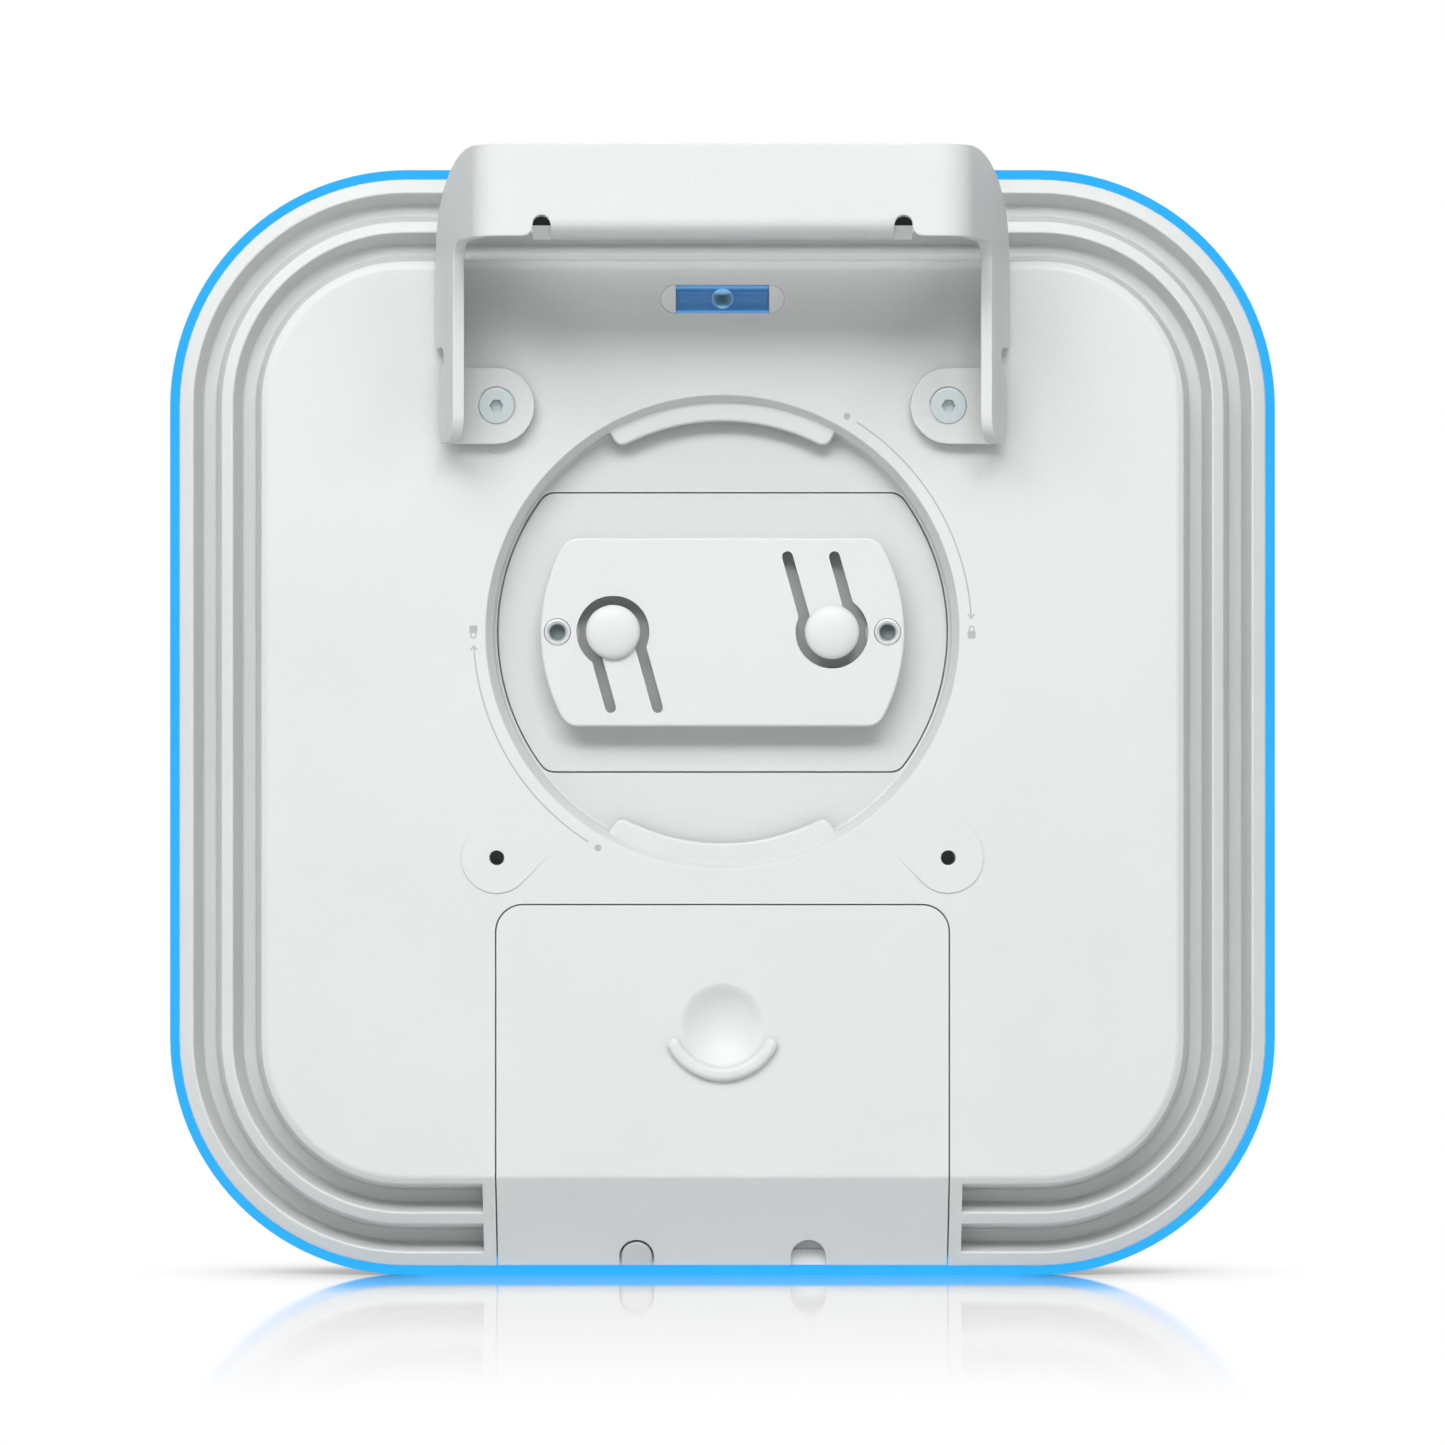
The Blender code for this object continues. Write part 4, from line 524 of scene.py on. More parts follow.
def shade_mask_group():
    """How open a spot is, for painted shade: 1 on a free face, less in a groove, and least under the bracket.
    """
    group, takes, gives = new_group("Painted shade", {"Near": "Float", "Far": "Float"}, ("Open",))
    near, far = [add_node(group, "AmbientOcclusion", {"Distance": takes[reach]}, samples=8).outputs["AO"]
                 for reach in ("Near", "Far")]
    beyond = reckon(group, "SUBTRACT", near, far)
    groove = spread(group, near, 0.0, 1.0, to_low=0.2)
    terms = {0: beyond, 1: -1.7, 2: groove}
    covered = add_node(group, "Math", terms, operation="MULTIPLY_ADD", use_clamp=True)
    feed(group, gives, {"Open": covered.outputs[0]})
    return group


def band_group():
    """Distance from the axis of the level, up or down, as a part of its radius from -1 to 1."""
    group, _, gives = new_group("Across the vial", {}, ("Across",))
    place = add_node(group, "TexCoord").outputs["Object"]
    height = add_node(group, "SeparateXYZ", {0: place}).outputs["Z"]
    middle = at(0, 0, LEVEL_Z).z
    ends = {"From Min": middle - VIAL_R * MM, "From Max": middle + VIAL_R * MM, "To Min": -1.0}
    across = add_node(group, "MapRange", {"Value": height, **ends}, clamp=False)
    feed(group, gives, {"Across": across.outputs["Result"]})
    return group


GRAIN = grain_group()
SHADE_GROUP = shade_mask_group()
BAND = band_group()


def finish(name, pale, deep, rough, size=900.0, bump=0.05, metallic=0.0, coat=0.0, stretch=(1, 1, 1),
           painted_shade=0.0, shine=0.5):
    """A finish between two colours, with grain in its tone, gloss and relief, and shade painted darker into
    its grooves, its corners and the spots under the bracket.
    """
    made = bpy.data.materials.new(name)
    made.use_nodes = True
    tree = made.node_tree
    grain = add_node(tree, "Group", {"Size": size, "Stretch": stretch}, node_tree=GRAIN).outputs
    tint = blended(tree, grain["Tone"], (*deep, 1), (*pale, 1))
    # Painted shade: the colour darkens where the spot is closed in.
    if painted_shade:
        shade_mask = add_node(tree, "Group", {"Near": SHADE_NEAR, "Far": SHADE_FAR}, node_tree=SHADE_GROUP)
        shaded = (*(channel * (1 - painted_shade) for channel in deep), 1)
        tint = blended(tree, shade_mask.outputs["Open"], shaded, tint)
    gloss = spread(tree, grain["Tone"], 0.0, 1.0, rough + 0.05, rough - 0.05)
    relief = add_node(tree, "Bump", {"Strength": bump, "Distance": 0.0005, "Height": grain["Height"]})
    feed(tree, shader_of(made), {"Base Color": tint, "Roughness": gloss, "Metallic": metallic,
                                 "Coat Weight": coat, "Specular IOR Level": shine,
                                 "Normal": relief.outputs["Normal"]})
    return made


def shader_of(made):
    return made.node_tree.nodes["Principled BSDF"]


def colour_of(made):
    """The socket that feeds a finish with its colour."""
    return shader_of(made).inputs["Base Color"].links[0].from_socket


def across_vial(tree):
    return add_node(tree, "Group", node_tree=BAND).outputs["Across"]


def glow_finish(name, pale, deep):
    """A lit light guide: the colour is in its own glow, with a slow drift from lamp to lamp."""
    made = finish(name, (0.004, 0.012, 0.02), (0.002, 0.008, 0.015), 0.6, size=300.0, bump=0.02, shine=0.1)
    tree = made.node_tree
    grain = next(maker for maker in tree.nodes if maker.type == "GROUP")
    glow = blended(tree, grain.outputs["Tone"], (*deep, 1), (*pale, 1))
    feed(tree, shader_of(made), {"Emission Color": glow, "Emission Strength": 1.0})
    return made


def tube_finish(name, pale, deep):
    """Clear tinted tube: nearly unseen in front, with a painted highlight where its wall is seen edge on, and
    a painted glow.
    """
    made = finish(name, pale, deep, 0.12, size=120.0, bump=0.0, coat=0.6)
    tree = made.node_tree
    # The alpha and the glow paint the bright lines at the top and foot of the tube.
    away = reckon(tree, "ABSOLUTE", across_vial(tree))
    wall = spread(tree, away, 0.72, 0.9, to_low=0.06, line="SMOOTHSTEP")
    feed(tree, shader_of(made), {"Alpha": wall, "Emission Color": colour_of(made), "Emission Strength": 0.45})
    return made


def liquid_finish(name, pale, deep):
    """Blue liquid with painted light and dark lines where the tube's curve bends the light, and a painted
    glow.
    """
    made = finish(name, pale, deep, 0.3, size=200.0, bump=0.0)
    tree = made.node_tree
    # Painted highlight and dark bands across the vial, by height, and a painted glow.
    painted_lines = add_node(tree, "ValToRGB", {0: spread(tree, across_vial(tree), -1.0, 1.0)})
    marks = painted_lines.color_ramp.elements
    marks[0].color = (0.75, 0.75, 0.75, 1)
    marks[1].color = (0.7, 0.7, 0.7, 1)
    for place, level in ((0.50, 0.75), (0.55, 0.6), (0.60, 0.75), (0.72, 0.72), (0.76, 1.0), (0.80, 0.72)):
        marks.new(place).color = (level, level, level, 1)
    painted_banded = blended(tree, 1.0, colour_of(made), painted_lines.outputs["Color"], "MULTIPLY")
    feed(tree, shader_of(made), {"Base Color": painted_banded, "Emission Color": painted_banded, "Emission Strength": 0.3})
    return made


def bubble_finish(name, pale, deep):
    """A bubble of air: dark across its middle, with a painted highlight at its rim, its crown and its foot,
    and a painted glow.
    """
    made = finish(name, deep, deep, 0.08, size=200.0, bump=0.0, shine=0.15)
    tree = made.node_tree
    # Painted highlight by facing and by height, and a painted glow.
    rim = add_node(tree, "LayerWeight", {"Blend": 0.28}).outputs["Facing"]
    away = reckon(tree, "ABSOLUTE", across_vial(tree))
    crown = spread(tree, away, 0.24, 0.62, to_high=0.8, line="SMOOTHSTEP")
    edge = blended(tree, reckon(tree, "MAXIMUM", rim, crown), colour_of(made), (*pale, 1))
    feed(tree, shader_of(made), {"Base Color": edge, "Emission Color": edge, "Emission Strength": 0.35})
    return made


# The paint, the moulded plastic and the powder coat take painted shade in grooves, corners and under the
# bracket.
white_paint = finish("white paint", (0.835, 0.86, 0.85), (0.79, 0.815, 0.805), 0.5, size=1400.0, bump=0.06,
                     painted_shade=0.35)
white_plastic = finish("white moulded plastic", (0.84, 0.86, 0.855), (0.80, 0.82, 0.815), 0.46, size=1800.0,
                       bump=0.04, painted_shade=0.34)
radome_plastic = finish("front cover plastic", (0.85, 0.865, 0.86), (0.815, 0.83, 0.825), 0.42, size=1600.0)
powder_coat = finish("white powder coat", (0.83, 0.855, 0.845), (0.78, 0.805, 0.795), 0.48, size=1100.0,
                     bump=0.09, painted_shade=0.42)
blue_glow = glow_finish("lit blue guide", (0.027, 0.455, 1.0), (0.022, 0.425, 1.0))
plated_steel = finish("plated steel", (0.55, 0.61, 0.625), (0.47, 0.53, 0.545), 0.42, size=700.0, bump=0.03,
                      metallic=0.55)
bush_steel = finish("turned steel", (0.66, 0.68, 0.69), (0.55, 0.57, 0.58), 0.35, metallic=0.8,
                    stretch=(1, 6, 1))
# Black for the painted shade in the round ends of the bend reliefs.
shade_black = finish("painted shade black", (0.014, 0.016, 0.017), (0.01, 0.011, 0.012), 0.8, shine=0.1)
# Grey for the painted shade deep in the bushes' bores.
bore_shade_grey = finish("painted bore shade", (0.15, 0.185, 0.195), (0.11, 0.14, 0.15), 0.6)
mark_grey = finish("grey print", (0.52, 0.53, 0.54), (0.47, 0.48, 0.49), 0.6, size=2500.0, bump=0.02)
blank_rubber = finish("light grey rubber", (0.74, 0.75, 0.75), (0.69, 0.70, 0.70), 0.62, size=1500.0,
                      bump=0.08)
foam_black = finish("black foam", (0.035, 0.035, 0.04), (0.02, 0.02, 0.025), 0.85, size=1500.0, bump=0.4)
mask_green = finish("green board", (0.015, 0.14, 0.07), (0.01, 0.10, 0.05), 0.4, size=500.0, coat=0.3)
tin_plate = finish("tinned sheet", (0.66, 0.66, 0.64), (0.55, 0.55, 0.54), 0.34, size=400.0, metallic=0.9,
                   stretch=(1, 1, 8))
plain_metal = finish("plain aluminium", (0.74, 0.75, 0.76), (0.64, 0.65, 0.66), 0.38, size=400.0,
                     metallic=0.9, stretch=(8, 1, 1))
soft_pad = finish("soft grey pad", (0.40, 0.46, 0.54), (0.33, 0.39, 0.46), 0.8, bump=0.2)
brass = finish("brass", (0.76, 0.56, 0.27), (0.64, 0.45, 0.2), 0.32, size=600.0, metallic=0.9)
black_plastic = finish("black plastic", (0.028, 0.028, 0.031), (0.018, 0.018, 0.02), 0.45, size=1500.0,
                       bump=0.1)
button_grey = finish("dark grey plastic", (0.28, 0.28, 0.29), (0.22, 0.22, 0.23), 0.45, size=1500.0)
strip_white = finish("lamp strip", (0.86, 0.86, 0.84), (0.80, 0.80, 0.78), 0.5, size=700.0)
gold = finish("gold contacts", (0.86, 0.63, 0.25), (0.74, 0.52, 0.19), 0.25, metallic=1.0)
tube_clear = tube_finish("clear blue tube", (0.20, 0.51, 0.86), (0.17, 0.47, 0.82))
liquid_blue = liquid_finish("blue liquid", (0.10, 0.29, 0.58), (0.08, 0.25, 0.52))
bubble_air = bubble_finish("air bubble", (0.45, 0.80, 0.98), (0.012, 0.04, 0.055))
cap_white = finish("level cap", (0.83, 0.85, 0.845), (0.79, 0.81, 0.805), 0.5, bump=0.02)


# Rear housing: the profile of the border runs round the body, and the plain ramp closes the gap at the foot

def groove(edges, floor_y, first_ease):
    """Corners of one groove, from the edge near the panel to the edge near the lip."""
    near, floor_near, floor_far, far = edges
    return [(near, slope_y(near), first_ease), (floor_near, floor_y, 0.6), (floor_far, floor_y, 0.6),
            (far, slope_y(far), 0.5)]


def border_rows():
    """The border from the panel out to the lip, with its two grooves, as rounded corners."""
    corners = [(PANEL - 3, PANEL_Y, 0), (PANEL, PANEL_Y, 2.2)]
    corners += groove(INNER_GROOVE, INNER_GROOVE_Y, 0.4) + groove(OUTER_GROOVE, OUTER_GROOVE_Y, 0.5)
    return eased(corners + [(LIP, LIP_Y, 1.0), (LIP, SEAT, 0)], 4)


def inner_points():
    """From under the lip, round the rim and up to the inside of the panel."""
    return [(138.2, SEAT), (138.2, 3.0), (135.7, 3.0), (135.7, RIM_Y), (133.0, RIM_Y), (133.0, 5.2),
            (131.0, 5.0), (120.2, -2.1), (114.3, -6.2), (112.1, PANEL_Y + PANEL_WALL)]


def housing_shell():
    rows = border_rows()
    plain = rows[0] + rows[1] + [rows[2][0], rows[5][-1], rows[6][0], rows[9][-1]] + joined(rows[10:])
    run_round(joined(rows) + inner_points(), RAMP, -RAMP)
    shell = set_down()
    pen([(-RAMP, y, -half) for half, y in plain + inner_points()])
    pull(x=2 * RAMP)
    ramp = set_down()
    choose(shell)
    ramp.select_set(True)
    bpy.ops.object.join()
    bpy.ops.object.mode_set(mode="EDIT")
    return close_ends()


def boss_pad(side, z):
    """Raised pad round a boss, which sinks into the panel towards the recess."""
    to_x, to_z = -side * BOSS_X, RECESS_Z - z
    reach = math.hypot(to_x, to_z)
    towards = math.degrees(math.atan2(to_z, to_x))
    run_x, run_z = to_x / reach * 17, to_z / reach * 17
    ends = arc(side * BOSS_X, z, 9.2, towards + 90, towards + 270, 28)
    outline = ends + [(ends[-1][0] + run_x, ends[-1][1] + run_z), (ends[0][0] + run_x, ends[0][1] + run_z)]
    pad = slab(outline, PANEL_Y - 0.35, PANEL_Y + 1.5, ease=0.3)
    choose(pad)
    bpy.ops.object.mode_set(mode="EDIT")
    far = at(side * BOSS_X, 0, z)

    def sinks(vert, last):
        along = ((vert.co.x - far.x) * to_x + (vert.co.z - far.z) * to_z) / reach / MM
        return along > 12 and vert.co.y < at(0, PANEL_Y + 0.5, 0).y

    pick_verts(sinks)
    bpy.ops.transform.translate(**shift(y=0.42))
    return set_down()


def recess_tool():
    """The flared round recess, with a soft rim and a soft foot to its wall."""
    rim_y = PANEL_Y - 0.01
    corners = [(0, AHEAD_Y, 0), (66.0, AHEAD_Y, 0), (66.0, rim_y, 0), (RECESS_R, rim_y, 0.5),
               (RECESS_WALL_R, FLARE_Y, 0.8), (RECESS_WALL_R, FLOOR_Y, 0.8), (0, FLOOR_Y, 0)]
    return turned(joined(eased(corners, 4)), 0, RECESS_Z, 128)


def bayonet_tab():
    """Upper bayonet tab, with round ends and soft edges, run into the wall behind it."""
    inner = arc(0, RECESS_Z, TAB_R, 90 + TAB_SWING, 90 - TAB_SWING, 30)
    outer = arc(0, RECESS_Z, RECESS_R, 90 - TAB_SWING, 90 + TAB_SWING, 30)
    right = eased_corner(inner[-2], inner[-1], outer[0], 2.6, 6)
    left = eased_corner(outer[-1], inner[0], inner[1], 2.6, 6)
    keep = [point for point in inner if abs(point[0]) < abs(right[0][0]) - 0.2]
    return slab(left + keep + right + outer, TAB_Y, TAB_Y + TAB_THICK, ease=0.75, steps=4)


def door_outline(grow):
    half = DOOR_HALF + grow
    top = DOOR_TOP + grow
    radius = DOOR_CORNER + grow
    points = [(-half, BELOW_Z), (half, BELOW_Z)] + arc(half - radius, top - radius, radius, 0, 90, 12)
    return points + arc(radius - half, top - radius, radius, 90, 180, 12)


def door_rebate():
    """The step that the door lies in, with its ledge."""
    ledge = PANEL_Y + DOOR_WALL + 0.3
    low = 150.0
    side = [(AHEAD_Y, -20.0), (ledge, -20.0), (ledge, -slope_half(ledge, DOOR_WALL + 0.3)),
            (slope_y(low, DOOR_WALL + 0.3), -low), (AHEAD_Y, -low)]
    tool = slab(door_outline(SEAM), AHEAD_Y - 5.0, PAST_Y)
    return carve(tool, bar(side, -100, 100), "INTERSECT")


def rail_groove(side):
    inner, outer = sorted((side * (BAY_HALF - 2), side * 55.95))
    return block((inner, outer), (-13.0, -10.7), (-116.0, DOOR_TOP - 8.6))


def peg(radius, near_y, far_y, x, z, steps):
    """A plain round solid along y."""
    return turned([(0, near_y), (radius, near_y), (radius, far_y), (0, far_y)], x, z, steps)


def make_housing():
    housing = housing_shell()
    carve(housing, peg(RECESS_BACK_R, BACK_NEAR_Y + 0.1, BACK_FAR_Y, 0, RECESS_Z, 96), "UNION")
    top = BAY_TOP + 6.3
    low = BAY_LOW - 3.0
    behind = BAY_FLOOR_Y + 2.0
    bay = [(BACK_NEAR_Y, top), (BACK_NEAR_Y, -112.0), (slope_y(-low, 1.5), low), (behind, low), (behind, top)]
    carve(housing, bar(bay, -60.2, 60.2), "UNION")
    carve(housing, block((-18.3, 18.3), (BACK_NEAR_Y, -6.9), (LEVEL_Z - 6.3, LEVEL_Z + 5.4)), "UNION")
    bosses = [(side, z) for side in (-1, 1) for z in (BOSS_HIGH, BOSS_LOW)]
    for side, z in bosses:
        carve(housing, peg(BOSS_R, BACK_NEAR_Y, BACK_FAR_Y, side * BOSS_X, z, 32), "UNION")
        carve(housing, boss_pad(side, z), "UNION")
    carve(housing, recess_tool())
    tab = bayonet_tab()
    carve(housing, copied(tab, "lower tab", half_turn=True), "UNION")
    carve(housing, tab, "UNION")
    carve(housing, slab(flatted_disc(58.1, 36.15, 4.5), -10.0, INSERT_SEAT_Y + 0.3))
    carve(housing, door_rebate())
    carve(housing, slab(rounded_box(-BAY_HALF, BAY_HALF, BAY_LOW, BAY_TOP, 3.5), AHEAD_Y, BAY_FLOOR_Y))
    through = (BAY_FLOOR_Y - 2.0, BAY_FLOOR_Y + 4.0)
    for side in (-1, 1):
        carve(housing, rail_groove(side))
        exit_x = side * NOTCH_X
        channel = NOTCH_R + 2.3
        carve(housing, block((exit_x - channel, exit_x + channel), (PANEL_Y, SEAT), (-150, BAY_LOW + 2)))
        carve(housing, block((exit_x - JACK_HALF, exit_x + JACK_HALF), through, (JACK_LOW, JACK_TOP)))
    carve(housing, peg(RESET_R, *through, 0, RESET_Z, 24))
    level = rounded_box(-15.9, 15.9, LEVEL_Z - VIAL_R - 0.06, LEVEL_Z + VIAL_R + 0.06, VIAL_R + 0.05, 14)
    carve(housing, slab(level, AHEAD_Y, -9.3))
    wide = BOSS_HOLE_R + 0.2
    hole = [(0, AHEAD_Y), (wide, AHEAD_Y), (wide, PANEL_Y - 0.35), (BOSS_HOLE_R, PANEL_Y - 0.15),
            (BOSS_HOLE_R, -6.0), (0, -6.0)]
    for side, z in bosses:
        carve(housing, turned(hole, side * BOSS_X, z, 32))
    return dress(housing, "cast_rear_housing", white_paint, nodes=("rear_housing", "recess_cup"))


make_housing()


# Light ring and front cover

def make_ring():
    section = joined(eased([(RING_IN, 0.0, 0.2), (RING_OUT, 0.0, 0.3), (RING_OUT, RING_DEEP, 0.7),
                            (RING_IN, RING_DEEP, 0.2)], 4, loop=True))
    run_round(section, loop=True, steps=28)
    return dress(set_down(), "blue_light_ring", blue_glow, nodes=("light_ring",))


def make_front_cover():
    face = [(110.0, FRONT_Y, 0), (140.4, FRONT_Y, 14.0), (142.6, 6.3, 0.6), (139.5, 6.3, 0.3)]
    inside = [(139.5, 6.3, 0), (137.4, FRONT_Y - 3, 11.0), (110.0, FRONT_Y - 3, 0)]
    run_round(joined(eased(face, 12)) + joined(eased(inside, 8)), steps=28)
    return dress(close_ends(), "front_cover", radome_plastic, nodes=("front_radome",))


make_ring()
make_front_cover()


# Lock insert, its sprung fingers and its bushes

def finger_axes():
    """Along the left finger from its button to its root, and across it."""
    return (Vector((math.sin(FINGER_TILT), -math.cos(FINGER_TILT))),
            Vector((math.cos(FINGER_TILT), math.sin(FINGER_TILT))))


def beside_finger(offset, z):
    """Point on a line beside the left finger's axis, at a height below its button."""
    along, across = finger_axes()
    start = Vector((-LATCH_X, 0)) + across * offset
    point = start + along * ((z - start.y) / along.y)
    return point.x, point.y + RECESS_Z


def finger_opening():
    """Well of the left button with the two slots beside its tongue, which end in round noses."""
    along = finger_axes()[0]
    axis = math.degrees(math.atan2(along.y, along.x))
    wide = FINGER_HALF + FINGER_SLOT
    neck = math.degrees(math.asin(wide / WELL_R))
    points = arc(-LATCH_X, RECESS_Z, WELL_R, axis + neck, axis + 360 - neck, 40)
    nose = FINGER_SLOT / 2
    for offset in (-FINGER_HALF - nose, FINGER_HALF + nose):
        x, z = beside_finger(offset, -FINGER_ROOT + nose)
        points += arc(x, z, nose, axis - 90, axis + 90, 8)
    return points


def make_insert():
    insert = slab(flatted_disc(57.75, 35.8, 4.3), FLOOR_Y, INSERT_SEAT_Y, ease=0.15)
    platform = flatted_disc(PLATFORM_R, PLATFORM_HALF, 5.0)
    carve(insert, slab(platform, PANEL_Y, INSERT_SEAT_Y - 0.5, ease=0.8, steps=4), "UNION")
    hollow = flatted_disc(PLATFORM_R - PLATFORM_WALL, PLATFORM_HALF - PLATFORM_WALL, 2.6)
    cavity = slab(hollow, PANEL_Y + PLATFORM_WALL, WELL_FLOOR_Y)
    for side in (-1, 1):
        carve(cavity, peg(5.6, AHEAD_Y, -12.0, side * BUSH_X, RECESS_Z, 40))
    carve(insert, cavity)
    carve(insert, slab(hollow, WELL_FLOOR_Y + 1.0, 0.0))
    opening = slab(finger_opening(), AHEAD_Y, PANEL_Y + PLATFORM_WALL + 0.5)
    carve(insert, copied(opening, "right opening", half_turn=True))
    carve(insert, opening)
    bore = [(0, AHEAD_Y), (BUSH_R + 0.2, AHEAD_Y), (BUSH_R + 0.2, PANEL_Y), (BUSH_R + 0.1, PANEL_Y + 0.1),
            (BUSH_R + 0.1, -5.0), (0, -5.0)]
    for side in (-1, 1):
        carve(insert, turned(bore, side * BUSH_X, RECESS_Z, 40))
    return dress(insert, "twist_lock_insert", white_plastic, nodes=("lock_insert",))


def make_fingers():
    along, across = finger_axes()
    axis = math.degrees(math.atan2(along.y, along.x))
    neck = math.degrees(math.asin(FINGER_HALF / BUTTON_R))
    outline = arc(-LATCH_X, RECESS_Z, BUTTON_R, axis + neck, axis + 360 - neck, 44)
    nose = FINGER_SLOT / 2
    root = nose - FINGER_ROOT
    for side in (-1, 1):
        x, z = beside_finger(side * (FINGER_HALF + nose), root)
        outline.append((x - side * across.x * nose, z - side * across.y * nose))
    finger = slab(outline, PANEL_Y, PANEL_Y + PLATFORM_WALL)
    rim = BUTTON_R - 0.1
    spans = [math.sin(math.radians(90 * i / 16)) for i in range(17)]
    dome = [(rim * span, PANEL_Y - BUTTON_RISE - BUTTON_DOME * math.sqrt(1 - span ** 2.4)) for span in spans]
    dome += [(rim, PANEL_Y + 1.2), (0, PANEL_Y + 1.2)]
    carve(finger, turned(dome, -LATCH_X, RECESS_Z, 48), "UNION")
    twin = copied(finger, "right finger", half_turn=True)
    for piece, name, turn in ((finger, "left_finger", 1), (twin, "right_finger", -1)):
        choose(piece)
        bpy.ops.object.mode_set(mode="EDIT")
        for step in range(1, 7):
            level = RECESS_Z - turn * (10.0 + 1.6 * step)
            bpy.ops.mesh.select_all(action="SELECT")
            bpy.ops.mesh.bisect(plane_co=at(0, 0, level), plane_no=(0, 0, 1))
        bpy.ops.object.mode_set(mode="OBJECT")
        body = name.replace("finger", "latch")
        dress(piece, name, white_plastic, body=None, nodes=(body + "_finger",))
        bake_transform(piece)


def make_bushes():
    back = PANEL_Y - 0.1
    section = eased([(BUSH_BORE, back + 5.0, 0), (BUSH_BORE, back + 0.6, 0.1), (BUSH_BORE + 0.6, back, 0.1),
                     (BUSH_R, back, 0.25), (BUSH_R, back + 5.0, 0)], 4, loop=True)
    bush = turned(joined(section), -BUSH_X, RECESS_Z, 48, loop=True)
    dress_pair(bush, "steel_bush", bush_steel, BUSH_X, "lock_bush")
    # A dark grey cup deep in each bush's bore: painted shade for the dark hole.
    edge = BUSH_BORE - 0.05
    core = [(0, back + 2.6), (1.0, back + 2.5), (edge, back + 2.0), (edge, back + 4.6), (0, back + 4.6)]
    dress_pair(turned(core, -BUSH_X, RECESS_Z, 40), "bush_bore_shade", bore_shade_grey, BUSH_X)


make_insert()
make_fingers()
make_bushes()


# Port door with its finger dimple and ridge, the cable blank, and what is behind the door

def arch(x, half, top_z):
    return [(x - half, BELOW_Z), (x + half, BELOW_Z)] + arc(x, top_z, half, 0, 180, 20)


def make_door():
    """Door with its ramp, two cable exits with thin lips, the thumb dimple, and the rails behind it."""
    top = DOOR_TOP + 10
    inner_y = PANEL_Y + DOOR_WALL
    foot_y = -0.4
    ramp = eased_corner((PANEL_Y, -40.0), (PANEL_Y, -PANEL), (slope_y(DOOR_FOOT), -DOOR_FOOT), 2.2, 6)
    back = [(slope_y(DOOR_FOOT), -DOOR_FOOT), (foot_y, -DOOR_FOOT), (foot_y, -slope_half(foot_y, DOOR_WALL)),
            (inner_y, -slope_half(inner_y, DOOR_WALL)), (inner_y, top)]
    door = bar([(PANEL_Y, top)] + ramp + back, -100, 100)
    carve(door, slab(door_outline(-SEAM), AHEAD_Y, PAST_Y), "INTERSECT")
    for x in (-NOTCH_X, NOTCH_X):
        carve(door, slab(arch(x, NOTCH_R, NOTCH_Z), AHEAD_Y, PAST_Y))
    soften(door, 0.2, 2, 60)
    for x in (-NOTCH_X, NOTCH_X):
        reach = NOTCH_R + 0.4
        lip = block((x - reach, x + reach), (-0.72, foot_y - 0.02), (0.05 - DOOR_FOOT, 4.0 - DOOR_FOOT))
        carve(door, lip, "UNION")
    carve(door, peg(12.1, -15.8, -12.0, 0, DIMPLE_Z, 64), "UNION")
    sphere = (DIMPLE_R ** 2 + DIMPLE_DEEP ** 2) / (2 * DIMPLE_DEEP)
    reach = math.asin(DIMPLE_R / sphere)
    wide = DIMPLE_R + 1.0
    bowl = [(0, AHEAD_Y), (wide, AHEAD_Y), (wide, PANEL_Y - 0.01), (DIMPLE_R + 0.35, PANEL_Y + 0.03)]
    for i in range(13, -1, -1):
        turn = reach * i / 14
        bowl.append((sphere * math.sin(turn), PANEL_Y + DIMPLE_DEEP - sphere * (1 - math.cos(turn))))
    carve(door, turned(bowl, 0, DIMPLE_Z, 80))
    for side in (-1, 1):
        web = sorted((side * 50.95, side * 52.95))
        foot = sorted((side * 51.95, side * 55.55))
        span = (-109.7, DOOR_TOP - 9.0)
        carve(door, block(web, (PANEL_Y + 1.25, -11.1), span), "UNION")
        carve(door, block(foot, (-12.6, -11.1), span), "UNION")
    return dress(door, "sliding_port_door", white_plastic, "port_door", ("port_door",))


def make_grip_ridge():
    """Rounded crescent under the dimple, with round ends."""
    centre = DIMPLE_Z + 1.4
    radius = 14.0
    half = 1.8
    left = 270 - 62
    right = 270 + 62
    outline = arc(0, centre, radius + half, left, right, 40)
    outline += arc(*arc(0, centre, radius, right, right, 1)[0], half, right, right + 180, 10)
    outline += arc(0, centre, radius - half, right, left, 40)
    outline += arc(*arc(0, centre, radius, left, left, 1)[0], half, left + 180, left + 360, 10)
    ridge = slab(outline, PANEL_Y - 1.95, PANEL_Y + 0.2, ease=1.45, steps=7)
    return dress(ridge, "door_grip_ridge", white_plastic, "port_door", angle=60)


